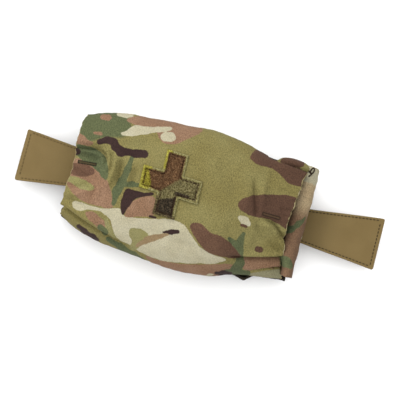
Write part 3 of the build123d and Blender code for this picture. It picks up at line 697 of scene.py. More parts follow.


# The print by colour, with a few patches of painted shade among it: spots (x, p, radius) for a rounded stroke, or
# the corners (x, p) of an outline.
FRONT_PRINT_AND_SHADE = {
    "green": [
        [(-97, 16), (-86, 17), (-78, 16), (-73, 14), (-69, 8), (-66, 1), (-67, -4), (-70, -2), (-74, 1),
         (-79, 3.6), (-84, 5), (-88, 6), (-91, 8.5), (-97, 9)],
        [(-53.5, 17, 1.3), (-54.5, 8, 2), (-56, -2, 2.8), (-58, -9, 2.7), (-58, -18, 1.3)],
        [(-55, -3, 2), (-49, -1.5, 1.7), (-43, -0.5, 1.2)],
        [(-63, -36, 2), (-59, -38.6, 2.4)],
        [(-56, -43, 1.6), (-46, -46.5, 2.2), (-36, -49.5, 2), (-29, -50.8, 1)],
        [(35.5, -15.5, 1.5), (34.5, -21, 2.1), (35.5, -28, 2.9), (38.5, -36, 2.8), (37, -42, 4)],
        [(26.5, -21, 1.3), (30, -23.5, 1.9), (34, -25, 2)],
        [(31, -44.8, 2.2), (38, -43.5, 3.4), (46, -42, 2)],
    ],
    "clay": [
        [(-81.5, 39.6, 1.9), (-77.5, 40, 2.3)],
        [(-97, 21, 4.4), (-92, 20, 3), (-86.5, 18.8, 1.5), (-83.5, 19.6, 1)],
        [(-83.5, 27, 0.9), (-79.5, 27.6, 1.3)],
        [(-65, 42.5), (-60, 46), (-50, 49), (-38, 51), (-24, 52), (-12, 51), (-10, 47), (-16, 42), (-22, 37),
         (-28, 32.5), (-34, 32), (-39, 34.5), (-40.5, 38), (-46, 40), (-56, 40), (-63, 40.5)],
        [(-99, 5), (-91, 7.2), (-84, 6.2), (-78, 4.6), (-72, 0.6), (-66, -3), (-62, -9), (-59, -15),
         (-57, -20), (-61, -22.5), (-68, -22), (-75, -22.5), (-82, -21), (-88, -18), (-93, -13), (-99, -9)],
        [(-76, -28.2), (-73, -26.8), (-68.5, -27.2), (-64, -30), (-59.5, -31.5), (-57, -35.5), (-57.5, -41),
         (-60.5, -40.5), (-65, -36.5), (-70.5, -34), (-75, -31)],
        [(-49, -25), (-48, -18), (-45.5, -12), (-40, -8), (-32, -5), (-28, -10), (-28, -19), (-34, -21),
         (-41, -22.5), (-46, -25)],
        [(-29, -46.5), (-20, -48.5), (-9, -48), (4, -46), (12, -43.5), (20, -42), (28, -39), (34, -38),
         (36, -41), (33, -46), (28, -50), (14, -54), (0, -57), (-14, -55), (-24, -51)],
        [(38, -31.5), (50, -28.5), (60, -26), (77, -23), (77, -30), (62, -33), (52, -37), (44, -41),
         (40, -38)],
    ],
    "cream": [
        [(-71, 44.5, 1.6), (-66, 45.5, 2.4), (-62, 46, 1.4)],
        [(-67, 31.5), (-62, 34), (-60, 38), (-56, 40), (-49, 40.5), (-42, 42.5), (-34, 45), (-30.5, 43.5),
         (-36, 40), (-43, 38), (-50, 34.5), (-57, 31.5), (-64, 30)],
        [(-35, 36.8, 3.2), (-31, 37.6, 3.5)],
        [(-87, -23), (-80, -22.5), (-75, -23.5), (-65, -23), (-60, -22), (-54, -19.5), (-51, -21), (-48, -25),
         (-38, -23), (-26, -20.5), (-17, -18), (-8, -18.5), (-2, -23), (3, -28), (8, -32), (14, -34),
         (20, -35), (29, -35.5), (27, -38), (19, -41.5), (11, -43), (5, -45), (-9, -47.5), (-20, -48),
         (-30, -47), (-36, -44.5), (-41, -42.5), (-48, -42), (-53, -38), (-55, -33), (-57.5, -29),
         (-62, -26.5), (-68, -25), (-76, -26.5), (-81, -29.5), (-86, -27)],
        [(30.5, -4.8, 1.8), (34, -6.4, 2.5), (37, -7.6, 1.8)],
    ],
    "leaf": [
        [(-96, -7.6), (-90, -6), (-84, -6.6), (-78, -7.8), (-73.8, -9.8), (-74, -12.2), (-78, -13.8),
         (-84, -13.6), (-90, -11.6), (-96, -9.8)],
        [(-43, -32), (-39, -30), (-33, -30), (-28, -33), (-29.5, -38), (-33.5, -43), (-36, -47),
         (-40.5, -45.5), (-38.5, -40), (-42.5, -36)],
        [(-60, -30, 1.4), (-57, -36, 1.7), (-52, -40.5, 1.4)],
    ],
    "tan": [
        [(-31, -34.5), (-25, -31.8), (-18, -28), (-13.5, -28.2), (-19, -32.5), (-25, -37), (-31, -41),
         (-36, -44), (-35, -40), (-32, -37.5)],
    ],
    "sage": [
        [(46, -42), (56, -37.5), (70, -31.5), (79, -33), (79, -44), (66, -45), (50, -47)],
    ],
    "brown": [
        # painted shade: darker band just below the left bar tack, where the cloth drops steeply into the hollow
        [(-99, 2), (-89, 3.8), (-81, 4), (-76, 1), (-78, -3), (-84, -5), (-91, -5.5), (-99, -5)],
        [(26, 38), (28, 43), (31, 46), (36, 45.5), (41, 42.5), (45, 40.5), (50, 39.5), (56, 39.5), (63, 39),
         (76, 38), (76, 29), (66, 27), (60, 26.5), (55, 28), (51, 31), (46, 34), (40, 34.5), (34, 34),
         (29, 35.5)],
        [(48, 41.5), (50, 45), (56, 47), (63, 46.5), (66, 44), (64, 40), (56, 39), (49, 39)],
        [(26, 4), (28, 8), (32, 11), (37, 13.5), (44, 15.5), (52, 17.5), (60, 19), (74, 19), (74, -7),
         (64, -5), (58, -2.5), (52, -1), (46, -1), (39, -2), (33, -1), (28, 1)],
        [(-3, -19), (0, -16), (4, -15.5), (9, -18), (14, -21), (20, -20.5), (25, -22), (31, -25.5), (35, -29),
         (39, -31.5), (34, -34), (27, -34.5), (20, -35), (14, -34), (9, -31), (4, -27), (0, -23)],
        [(48, -23.3, 2.1), (50, -23.2, 2.1)],
        [(32.5, -9.6, 0.9), (36, -10, 1.1)],
    ],
    "dark": [
        [(-79, 21.6, 1.7), (-74, 24.3, 2.2), (-69.5, 24.4, 2.3), (-66.5, 21, 2.5), (-62, 18.8, 3.1),
         (-57, 19.8, 2), (-51, 20.2, 2.5), (-46, 21.4, 2.9)],
        [(-53, -8), (-51, -4.5), (-46, -5), (-40, -5), (-32, -3), (-32, -5), (-40, -8), (-45, -12),
         (-47.5, -18), (-49, -25), (-52, -21), (-53.5, -14)],
        [(-19, -28.3, 0.8), (-14, -26.5, 1.4), (-9.8, -25.4, 1.5)],
        [(-78.5, -39.8, 1.6), (-74, -42, 1.7), (-67, -44.5, 1.8), (-63, -45.8, 1.1)],
        [(24, -47.2, 1.2), (29, -46.2, 1.7), (34, -45.2, 1.5)],
        [(-31, -20, 0.9), (-27, -19.6, 0.8)],
        # painted shadow: dark spot at the outline, where the lower-left fold opens
        [(-95.5, -29, 1.1), (-93.6, -30.4, 0.8)],
        # painted shade in the notch under the fold, at the upper edge of the left pull tab
        [(-97, 14), (-91, 13.8), (-89.8, 11.6), (-91.6, 8.6), (-97, 8.2)],
    ],
}


def steady(values, window=15):
    """Running median along the sleeve, so that a fold at the outline does not make the print jump."""
    padded = np.pad(values, ((window // 2, window // 2), (0, 0)), mode="edge")
    return np.median([padded[k: k + len(values)] for k in range(window)], axis=0)


# the print lies in plan coordinates on the face that is seen from the front, and runs on by cloth length
# beyond it
print_p, beyond = panel_plan, []
for sign, edge, seed in ((-1, face_start, 21), (1, face_end, 22)):
    at = steady(edge[:, None]).astype(int)
    edge_w, edge_p = (steady(np.take_along_axis(grid, at, 1)) for grid in (panel_w, panel_plan))
    past = sign * (panel_w - edge_w)
    print_p = np.where(sign * (np.arange(GIRTH) - at) > 0, edge_p + sign * past, print_p)
    beyond.append((past, scatter(seed)))

front = sheet("front_panel_cloth", panel_points, CAMO, CUT_EDGE)
corner = patch(panel_x, print_p, (-99, 40), (-84, 46), (-70, 49), (-63, 42), (-59, 37), (-61, 32), (-66, 29),
               (-72, 27), (-80, 24), (-88, 18), (-99, 17))
haze = blob(panel_x, print_p, (-62, 26, 3), (-50, 29, 4))
zone = 0.95 * smooth((3 - corner) / 5) + 0.35 * smooth((8 - haze) / 12)
print_on(front, panel_x, panel_w, FRONT_PRINT_AND_SHADE, np.clip(zone, 0, 1), print_p, *beyond)
keep(thicken(front, 0.8, rim=1), "sleeve", "camouflage_fabric", "front_panel")

# cut edges of the folded hems, standing just proud of the mouths
for side, word, thick in ((0, "left", 0.75), (-1, "right", 1)):
    rim = (panel_points - panel_normals * 0.5)[side, 4:-4:2]
    width = thick * (0.5 + 0.18 * ripple(np.arange(len(rim)) * 1.5, 0, 5, 31 + side))
    keep(mesh_object(f"{word}_hem_cut_edge", *tube(rim, width), CUT_EDGE), "sleeve", "camouflage_fabric")


def bar_tack(word, start, end, edge, fill, *nodes, width=1.8, pitch=0.62):
    """Dense zigzag of thread between two plan positions on the front panel, inside four tighter dark rows."""
    count = int(math.dist(start, end) / pitch)
    spots, normals = on_panel(*np.linspace(start, end, count + 1).T)
    across = np.cross(normals.mean(0), unit(spots[-1] - spots[0]))
    zigzag = []
    for k in range(count):
        sway = across * width / 2 * (1 + 0.12 * math.sin(5.1 * k))
        zigzag.append(stitch(spots[k] - sway, spots[k + 1] + sway, normals[k], 0.27))
    rows = [tube(spots + across * offset + normals * 0.22,
                 0.3 + 0.07 * np.sin(np.arange(count + 1) * 1.9 + offset), 6)
            for offset in (-width / 2, width / 2)]
    rows += [tube(spots[at] + across * np.linspace(-width / 2, width / 2, 5)[:, None] + normals[at] * 0.25,
                  0.26, 6)
             for at in (0, -1)]
    keep(joined(f"{word}_bar_tack", rows, thread(f"{word}_bar_tack_thread", *edge)), "sleeve", "thread",
         *nodes)
    keep(joined(f"{word}_bar_tack_zigzag", zigzag, thread(f"{word}_zigzag_thread", *fill)), "sleeve",
         "thread")


bar_tack("left", (-91.5, 4.6), (-78, 5.6), (46, 40, 26), (92, 80, 52))
bar_tack("right", (45, 1.9), (59.5, 1.6), (58, 43, 30), (104, 80, 58), "mouth_bar_tacks")

# ---- Cross patch ----

SPAN_X, SPAN_P, ARM_X, ARM_P = 21.3, 22.8, 7.6, 8.0  # half lengths and half widths of the two bars
STITCH_IN = 2.45  # from the outline to the sunken row of stitches
TABLE_REACH = 25  # the panel under the patch is looked up in a table of 1 mm cells, this far from the middle


def cross_place(a, b):
    """Plan position of a point of the patch, which was sewn on a little out of square."""
    return -22.6 + a - 0.022 * b, 5.2 + b - 0.042 * a


def cross_depth(a, b):
    """How far a point lies inside the cross outline, negative outside."""
    a, b = np.abs(a), np.abs(b)
    bars = np.maximum(np.minimum(ARM_X - a, SPAN_P - b), np.minimum(SPAN_X - a, ARM_P - b))
    return np.where((a < ARM_X) & (b < ARM_P), np.hypot(a - ARM_X, b - ARM_P), bars)


def cross_material():
    """Loop pile with a mottled print, a paler trimmed border with a painted highlight on its upper left, and a
    sunken line of stitching inside it.
    """
    s = Shader("loop_pile", roughness=0.95)
    place = s.coords()
    fuzz = s.ramp(s.noise(place, 0.95, 3, 0.75), 0.36, 0.64)
    fine = s.noise(place, 2.4, 2, 0.7)
    sway = (s.noise(place, 0.5, 3, 0.6) - 0.5) * 2.4
    inset = s.attribute("pile_inset")

    def part(under, name, blur, *tones):
        return s.mix(s.ramp(s.attribute("pile_" + name) + sway, blur, -blur), under, s.mix(fuzz, *tones))

    colour = part(s.mix(fuzz, (92, 62, 38), (158, 120, 84)), "arm", 1.6, (94, 84, 46), (184, 172, 120))
    colour = part(colour, "tip", 0.6, (118, 104, 24), (220, 208, 84))
    colour = part(colour, "foot", 0.7, (34, 27, 20), (104, 90, 70))
    edge = s.mix(s.ramp(inset + sway * 0.25, 0.9, 0.3), s.mix(fuzz, (112, 102, 56), (188, 178, 116)),
                 s.mix(fuzz, (150, 142, 90), (206, 198, 142)))
    # painted highlight: the border turns lighter and yellower on the upper left
    edge = part(edge, "lit", 1.0, (150, 138, 44), (220, 212, 100))
    edge = part(edge, "dim", 0.8, (52, 42, 28), (140, 124, 84))
    colour = s.mix(s.ramp(inset + sway * 0.2, 1.8, 1.2), colour, edge)
    groove = s.math("ABSOLUTE", inset - (STITCH_IN + sway * 0.4))
    colour = s.mix(s.ramp(groove, 0.95, 0.3) * (0.95 - fuzz * 0.5), colour, (60, 38, 20))
    return s.finish(s.shade(colour, 0.35 + fine * 1.6), s.bump(fuzz + fine * 0.6, 0.5, 0.9))


def paint_cross(obj, a, b):
    """Distances to the differently printed ends of the cross, to the painted highlight on the upper left of its
    border (lit) and to the darker border of the lower arm (dim).
    """
    strip_below = np.maximum(np.abs(a - 9.6) - 5.2, np.abs(b + 5) - 1.3)
    give(obj, "pile_tip", a + 14.8 + 0.33 * b)
    # lit: where the border gets its painted highlight
    give(obj, "pile_lit", np.minimum(a + 14.5, np.maximum(a + 3.5, 9 - b)))
    give(obj, "pile_arm", b - 0.95 * a + 0.4)
    give(obj, "pile_foot", np.minimum(b + 10 - 0.42 * np.clip(a, -9, 8), strip_below))
    give(obj, "pile_dim", np.minimum(np.maximum(a + 3, b + 9.5), b + 20.4))
    give(obj, "pile_inset", cross_depth(a, b))


def build_cross(step=0.45):
    """Trimmed pile with a raised border and a groove."""
    a, b = np.meshgrid(*(np.arange(-span, span + step, step) for span in (SPAN_X, SPAN_P)), indexing="ij")
    inside = cross_depth(a, b) > -0.35
    number = -np.ones(a.shape, int)
    number[inside] = np.arange(inside.sum())
    quads = np.stack([number[:-1, :-1], number[1:, :-1], number[1:, 1:], number[:-1, 1:]], -1).reshape(-1, 4)
    a, b = a[inside], b[inside]
    depth = cross_depth(a, b)
    jitter = rng.uniform(-0.14, 0.14, (2, a.size))
    spots, normals = on_panel(*cross_place(a + jitter[0], b + jitter[1]))
    lift = (1.15 + 0.35 * smooth((2.2 - depth) / 0.8)) * smooth(depth / 0.7 + 0.5)
    lift -= 0.8 * np.exp(-((depth - STITCH_IN) / 0.75) ** 2)
    lift += rng.normal(0, 0.13, a.size) + 0.2 * ripple(a, b, 3, 41)
    top = mesh_object("cross_patch_pile", spots + normals * lift[:, None], quads[quads.min(1) >= 0].tolist(),
                      PILE)
    paint_cross(top, a, b)
    keep(thicken(top, 0.9), "sleeve", "loop_pile", "cross_patch")


def build_pile_loops(count=3400):
    """Short loose fibres that stand out of the patch."""
    cells = np.meshgrid(*(np.arange(-TABLE_REACH, TABLE_REACH + 1.0),) * 2, indexing="ij")
    table = np.concatenate(on_panel(*cross_place(*cells)), -1).reshape(*cells[0].shape, 6)
    parts, places = [], []
    while len(parts) < count:
        a, b = rng.uniform(-SPAN_X, SPAN_X), rng.uniform(-SPAN_P, SPAN_P)
        depth = float(cross_depth(a, b))
        if depth < 0.05 or abs(depth - STITCH_IN) < 0.6:
            continue
        (i, f), (j, g) = ((int(v + TABLE_REACH), (v + TABLE_REACH) % 1) for v in (a, b))
        spot = ((table[i, j] * (1 - f) + table[i + 1, j] * f) * (1 - g)
                + (table[i, j + 1] * (1 - f) + table[i + 1, j + 1] * f) * g)
        spot, normal = spot[:3], spot[3:]
        turn, reach = rng.uniform(0, 2 * math.pi), rng.uniform(0.5, 1.1)
        way = np.array([math.cos(turn), math.sin(turn), 0])
        way -= normal * way.dot(normal)
        s = np.linspace(0, 1, 5)[:, None]
        parts.append(tube(spot + way * (reach * (s - 0.5)) + normal * (0.9 + 0.75 * np.sin(math.pi * s)),
                          0.1, 4))
        places += [(a, b)] * len(parts[-1][0])
    loops = joined("cross_patch_loops", parts, PILE)
    paint_cross(loops, *np.transpose(places))
    keep(loops, "sleeve", "loop_pile")


PILE = cross_material()
build_cross()
build_pile_loops()

# ---- Pull tabs ----

TAB_MID_Z = 11.95
TAB_SEAM_IN = 1.75


def build_tab(side, word, lean, shift, *sewing):
    """One laminate strip from under the tray's edge to the flared tip, sewn round its free part."""
    run = np.r_[np.linspace(58, 130.9, 82), 132.75 - 1.85 * (1 - np.sin(np.linspace(0.2, 1.57, 6)))][:, None]
    corner = np.clip((run - 131.2) / 1.55, 0, 1)
    half = 12.7 + np.maximum(run - 78, 0) / 54.75 * 6.45 - 1.5 * (1 - np.sqrt(1 - corner**2 * 0.98))
    y = half * np.linspace(-1, 1, 41)
    free = smooth((run - 80) / 50)
    z = TAB_MID_Z + free * (
        0.5 * np.sin((run - 80) / 17) + 0.35 * (y / 18) ** 2 + 0.1 * ripple(run, y, 22, 50 + side))
    across = y + lean * smooth((run - 78) / 55) + shift * smooth((run - 60) / 18)
    points = xyz(run * side, across, z)[:, ::side]
    tab = thicken(sheet(f"{word}_tab_strip", points, LAMINATE), 1.6, offset=0.0, rounding=0.35)
    lines = [points[22:-6, end] + unit(points[22:-6, inner] - points[22:-6, end]) * TAB_SEAM_IN
             for end, inner in ((0, 1), (-1, -2))] + [points[-8, 3:-3]]
    parts = []
    for sign in (1, -1):
        for line in lines:
            parts += seam(line + [0, 0, 0.82 * sign], (0, 0, sign), 2.6, 0.7, 0.34)
    stitches = joined(f"{word}_tab_stitches", parts, thread(f"{word}_tab_thread", *sewing))
    for piece in (tab, stitches):
        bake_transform(piece)
    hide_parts(f"{word}_tab_root", f"{word}_pull_tab")


build_tab(-1, "left", -0.9, 0.3, 108, 90, 54)
build_tab(1, "right", 0.5, 0.9, 58, 46, 24)

# ---- End roll of the insert ----

ROLL_PRINT = {
    "green": [[(64, -8, 1.4), (68, -4, 1.6), (72, 1, 1.7), (77, 6, 1.6)],
              [(64, -25, 3.2), (70, -27, 2.8), (74, -29, 2.2)], [(92, 20, 4), (96, 4, 5)]],
    "cream": [[(60, 48), (90, 48), (90, 34), (80, 30), (74, 31), (60, 33)], [(88, -10, 4), (92, -24, 5)]],
}
ROLL_X, ROLL_Z = 69.5, 24.4


def build_end_roll():
    turns = np.linspace(0, 1, 150)[:, None]
    angle = 2 * math.pi * 1.75 * turns
    shrink = 1 - 0.62 * turns
    x = ROLL_X + (6.2 * shrink + 0.3) * np.sign(np.cos(angle)) * np.abs(np.cos(angle)) ** 0.85
    z = ROLL_Z + 11.8 * (0.3 + 0.7 * shrink) * np.sign(np.sin(angle)) * np.abs(np.sin(angle)) ** 0.7
    y = np.linspace(-40.9, 39.6, 112)[None, :]
    w = run_length(np.hstack([x, z]))[:, None]
    w = w - w[20]
    swell = 0.35 * ripple(w, y, 24, 61) + 0.15 * ripple(w, y, 8, 62)
    points = xyz(x + (x - ROLL_X) / 5 * swell + 0.6 * np.sin(y / 24) + 0.4,
                 y + 0.4 * ripple(w, 0, 9, 63) * np.sign(y), z + (z - ROLL_Z) / 14 * swell)
    px, py, pz = (points[:, :, k] for k in range(3))
    # the lower end tapers towards its outer side and slants
    px += (ROLL_X + 6.6 - px) * 0.47 * smooth((-22 - py) / 15)
    py += smooth((-py - 28) / 9) * 0.16 * np.clip(35 - pz, 0, 30)
    roll = sheet("end_roll_cloth", points, ROLL_CAMO, CUT_EDGE)
    height = plan(py, pz)
    print_on(roll, px + np.clip(pz.max() - pz, 0, 30) * (px > ROLL_X), np.broadcast_to(y, px.shape),
             ROLL_PRINT,
             smooth((28 - height) / 34), height)
    keep(thicken(roll, 1, rim=1), "insert", "insert_fabric", "end_roll")


ROLL_CAMO = camouflage("roll_camouflage", ((190, 167, 129), (203, 183, 147)), (130, 101, 77))
build_end_roll()

# ---- Cord loop at the corner of the right mouth ----

t = np.linspace(0, 2 * math.pi, 40, endpoint=False)
cord_loop = xyz(72 + 1.1 * np.cos(t) + 0.4 * np.sin(t), 36.4 + 2.3 * np.sin(t), 39.5 + np.cos(t + 0.6))
cord_tail = ((70.2, 31.2, 42.4), (71, 32.4, 42.2), (71.8, 33.4, 41), (71.2, 34.8, 39.6), (69.6, 35.6, 38.6))
keep(joined("corner_cord", [tube(cord_loop, 0.55, closed=True), tube(cord_tail, 0.6)],
            webbing("cord", (50, 38, 22), (74, 58, 34), "y", 0.8)), "sleeve", "cord", "corner_cord_loop")

# ---- Sleeve back, bindings and mouth elastics ----

BACKING = cloth_plain("backing_laminate", (122, 103, 66), (136, 116, 78), 0.9, 0.18)
BINDING = webbing("dark_binding", (46, 40, 32), (66, 56, 42), "x", 0.9)
ELASTIC_X = webbing("elastic_bands", (74, 62, 42), (88, 74, 50), "x", 0.9)
WEB_Y = webbing("belt_webbing", (126, 106, 68), (140, 120, 80), "y", 1.5)
STRAP_THREAD = thread("strap_thread", 96, 80, 50)

share = np.linspace(0, 1, 66)[None, :, None]
back = panel_points[::2, :1] * (1 - share) + panel_points[::2, -1:] * share
back[:, :, 2] = 7.5 + 0.12 * ripple(back[:, :, 0], back[:, :, 1], 30, 71)
keep(thicken(sheet("back_panel_cloth", back, BACKING), 1.3, offset=0.0, rounding=0.3), "sleeve",
     "backing_laminate",
     "back_panel")

# outline of the folded tape: outwards from the seam's edge, and up
TAPE = np.array([(-2.6, -1.15), (-0.2, -1.3), (0.75, -0.9), (0.95, 0.1), (0.7, 1), (-0.3, 1.35), (-1.5, 1.2),
                 (-0.4, 0.4), (-0.5, -0.5), (-2.6, -0.7)])


def binding(word, x, y, sign, seam_y=None):
    """Folded tape over a seam edge. Where it hangs away from the seam, its folded leg still reaches it."""
    k = np.arange(len(x))[:, None]
    reach = TAPE[:, 0] + 0.12 * np.sin(k * 0.9) + 0.08 * np.sin(k * 2.3)
    if seam_y is not None:
        reach = np.where(TAPE[:, 0] < -2, reach - np.maximum(sign * y - seam_y - 0.6, 0)[:, None], reach)
    points = xyz(x[:, None], y[:, None] + sign * reach, 7.6 + TAPE[:, 1])
    n = len(TAPE)
    faces = grid_faces(len(x), n, close_cols=True)
    faces += [list(range(n)), list(range((len(x) - 1) * n, len(x) * n))[::-1]]
    keep(mesh_object(f"{word}_binding_tape", points, faces, BINDING), "sleeve", "dark_binding",
         f"{word}_seam_binding")


x = np.linspace(-94, 73.6, 150)
low_line = -through(x, (-95, 34.6), (-85, 39), (-70, 41.2), (14, 41.6), (24, 43), (34, 44.8), (41, 46),
                    (45.5, 46.8),
                    (47.5, 44.8), (50, 42.6), (60, 41.2), (70, 40), (76, 40))
binding("lower", x, low_line, -1, through(x, (-95, 34.6), (-85, 39), (-70, 41), (40, 41), (60, 40.4),
                                          (76, 39.4)))
x = x[x < 71]
binding("upper", x, through(x, (-95, 37.6), (-85, 39.8), (-70, 41.4), (69, 41.4), (76, 41)), 1)

for word, columns in (("left", slice(4, 19)), ("right", slice(-19, -4))):
    area = panel_points[columns, 9:-9]
    rings = 2.1 + 0.12 * np.sin(np.arange(len(area)) * 2)
    inner = area - unit(xyz(0, area[..., 1] / 50, (area[..., 2] - 20) / 35)) * rings[:, None, None]
    keep(thicken(sheet(f"{word}_mouth_elastic_band", inner, ELASTIC_X), 0.7), "sleeve", "elastic",
         f"{word}_mouth_elastic")

# ---- Belt straps and snaps ----

STRAP_PATH = rounded(((38, 5.95), (27, 5.95), (22.9, 0.85), (-22.9, 0.85), (-24.8, 2), (-40, 2)), 1.6, 1)
DOWN = (0, 0, -1)
anchor_tacks = []
for x, word in ((-51, "left"), (25, "right")):
    strap = strip(f"{word}_belt_webbing", STRAP_PATH, x - 12.4, x + 12.4, 1.5, WEB_Y, 0.05, 81, rounding=0.35)
    parts = tack_row((x - 10.8, -38.2, 1.15), (x + 10.8, -38.2, 1.15), DOWN, (0, 1, 0), 1.2)
    for side in (x - 10.8, x + 10.8):
        parts += seam(np.linspace((side, 21.5, 0.3), (side, -21.5, 0.3), 60), DOWN, 2.9, 0.68, 0.24)
    for piece in (strap, joined(f"{word}_belt_strap_stitches", parts, STRAP_THREAD)):
        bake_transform(piece)
    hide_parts(f"{word}_strap_anchor", f"{word}_belt_strap")
    for y in (30.4, 35.4):
        anchor_tacks += tack_row((x - 11, y, 5.15), (x + 11, y, 5.15), DOWN, (0, 1, 0), 1.6)
    for side in (x - 11, x + 11):
        anchor_tacks += tack_row((side, 30.4, 5.15), (side, 35.4, 5.15), DOWN, (1, 0, 0), 1.2)
keep(joined("strap_anchor_tacks", anchor_tacks, STRAP_THREAD), "sleeve", "thread", "anchor_bar_tacks")

HARD_PARTS = (
    (moulded("snap_metal", (46, 42, 38), (92, 84, 72), 0.34, 2.0, metallic=0.9),
     ("snap_studs", "snap_washers", "left_snap_cap", "left_snap_socket", "right_snap_cap",
      "right_snap_socket")),
    (moulded("black_plastic", (30, 30, 31), (48, 48, 48), 0.5, 2.4),
     ("tourniquet_plate", "windlass_rod", "windlass_clip", "tourniquet_buckle")),
    (moulded("stiffener_plastic", (44, 44, 42), (58, 58, 54), 0.6, 1.1), ("tray_stiffener",)),
)
for material, names in HARD_PARTS:
    for name in names:
        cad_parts[name].data.materials[0] = material

# ---- Insert tray, loops and packs ----

TRAY_CLOTH = cloth_plain("insert_fabric", (128, 106, 68), (146, 124, 84), 0.8, 0.16)
ELASTIC_Y = webbing("elastic_loops", (96, 80, 52), (112, 94, 62), "y", 0.9)

tray_path = rounded(((-36.5, 29.4), (-36.7, 10.7), (36.7, 10.7), (36.5, 29.4)), 2.2, 1.2)
tray = strip("tray_cloth", tray_path, -77.6, 77.2, 0.95, TRAY_CLOTH, 0.1, 91)
for v in tray.data.vertices:  # the walls drop towards the end roll, and the lower one leans in
    fall = smooth((v.co.x / MM - 62.5) / 4.5)
    if v.co.z > 0.0114:
        v.co.z += (0.0112 - v.co.z) * fall
    v.co.y = max(v.co.y, (-37.2 + 2.6 * smooth((v.co.x / MM - 63) / 8)) * MM)
keep(tray, "insert", "insert_fabric", "tray")
parts = []
for out in (-1, 1):
    for z in (27.4, 25.2):
        for y, way in ((35.98, -out), (37.1, out)):
            parts += seam(np.linspace((-76, out * y, z), (62, out * y, z), 120), (0, way, 0), 3, 0.66, 0.25)
keep(joined("tray_stitches", parts, TAB_THREAD), "insert", "thread")

for x, word in ((-42, "left"), (2, "middle"), (46, "right")):
    shoulder = [(-35.6, 40.7)]
    if word == "right":  # pressed down by the creases of the panel above it
        shoulder = [(-35.6, 29), (-27.5, 35.4), (-16, 40.2)]
    path = rounded([(-35.6, 12.6), *shoulder, (35.6, 40.7), (35.6, 12.6)], 10.5, 1)
    keep(strip(f"{word}_loop_band", path, x - 9.9, x + 9.9, 1.1, ELASTIC_Y, 0.08, 95 + x, rounding=0.25),
         "insert",
         "elastic", f"{word}_elastic_loop")


def pad(name, centre, size, material, corner, crown, seed, crease, flange=0.0):
    """Soft closed pack: crowned top and bottom, rounded corners and, if asked for, a crimped flange all round."""
    a = np.linspace(0, 2 * math.pi, 96, endpoint=False)[:, None]
    q = np.linspace(-math.pi / 2, math.pi / 2, 48)[None, :]

    def power(wave, exponent):
        return np.sign(wave) * np.abs(wave) ** exponent

    flat = 2 / (2 + 10 * (1 - corner))
    wide, tall = np.abs(np.cos(q)) ** (0.35 * crown), power(np.sin(q), crown)
    ca, sa = power(np.cos(a), flat), power(np.sin(a), flat)
    x, y = size[0] / 2 * ca * wide, size[1] / 2 * sa * wide
    z = size[2] / 2 * tall + crease * ripple(x, y, 11, seed) * (wide > 0.2) * np.sign(tall) * (1 - wide**8)
    rim = flange * np.exp(-((q / 0.05) ** 2))
    points = xyz(x + rim * ca, y + rim * sa, z) + centre
    return mesh_object(name, points, grid_faces(*points.shape[:2], close_rows=True), material)


film = Shader("clear_film", roughness=0.22, alpha=0.45)
crinkle = film.noise(film.coords(), 0.16, 4, 0.6)
film.finish(film.mix(crinkle, (0.62, 0.63, 0.60, 1), (0.80, 0.80, 0.77, 1)), film.bump(crinkle, 0.9, 0.7))
pocket_path = rounded(((-34.3, 12.2), (-34.3, 15.75), (34.3, 15.75), (34.3, 12.2)), 1.2, 1.2)
keep(strip("flat_pocket_film", pocket_path, -54.5, 54.5, 0.35, film.material, 0.05, 99), "insert",
     "clear_film",
     "flat_pocket")

foil = Shader("foil", roughness=0.34, specular=0.6)
place = foil.coords()
crinkle = foil.noise(place, 0.22, 5, 0.65)
foil.finish(foil.mix(foil.ramp(crinkle, 0.3, 0.7), (150, 146, 124), (178, 174, 152)),
            foil.bump(crinkle + foil.noise(place, 1.1, 3, 0.6) * 0.25, 1, 0.9))
RUBBER = moulded("glove_rubber", (38, 42, 52), (54, 60, 72), 0.6, 0.7, bump=0.2)
BANDAGE = cloth_plain("bandage", (196, 186, 160), (208, 200, 176), 1.1, 0.3)

keep(pad("chest_seal_pouch", (0, 0, 12.65), (105.6, 65.6, 1.2), foil.material, 0.06, 0.45, 101, 0.05),
     "insert",
     "foil", "chest_seal_pack")
keep(pad("glove_pouch", (0, 0, 14.35), (97.6, 59.6, 1.9), RUBBER, 0.12, 0.6, 102, 0.12), "insert",
     "glove_rubber",
     "glove_pack")
keep(pad("gauze_pouch", (-43, 22, 25.75), (52, 22, 18.6), foil.material, 0.22, 0.55, 103, 0.45, 1.6),
     "insert",
     "foil", "gauze_pack")

OUTER, CORE, LAYERS_ROLLED = 10.3, 2.6, 5
s = np.linspace(0, 1, 64 * LAYERS_ROLLED)
angle = 2 * math.pi * LAYERS_ROLLED * s + 0.6
radius = OUTER - (OUTER - CORE) * s + 0.12 * np.sin(angle * 3 + 3)
bandage_path = np.stack([22 + radius * np.cos(angle), 27.25 + radius * np.sin(angle)], -1)
keep(strip("bandage_cloth", bandage_path, -9, 63, (OUTER - CORE) / LAYERS_ROLLED * 0.86, BANDAGE, 0.1, 3,
           step=2.4),
     "insert", "bandage", "bandage_roll")

# ---- Tourniquet ----

BAND = webbing("black_webbing", (34, 34, 36), (46, 46, 48), "x", 1.3)
KEEPER = webbing("grey_webbing", (120, 120, 114), (136, 136, 130), "y", 0.9)
RIBBON = webbing("windlass_tape", (34, 34, 36), (48, 48, 50), "y", 1.0)
# Middle, half length, first fold and layer distance
TQ_X, TQ_Y, RUN, FOLD, PITCH = -4.0, -13.5, 60.0, 1.1, 1.65


def arc(x, z, radius, start, end, count):
    """Points on a circle between two angles, given in half turns."""
    angle = np.linspace(start * math.pi, end * math.pi, count)
    return list(zip(x + radius * np.cos(angle), z + radius * np.sin(angle)))


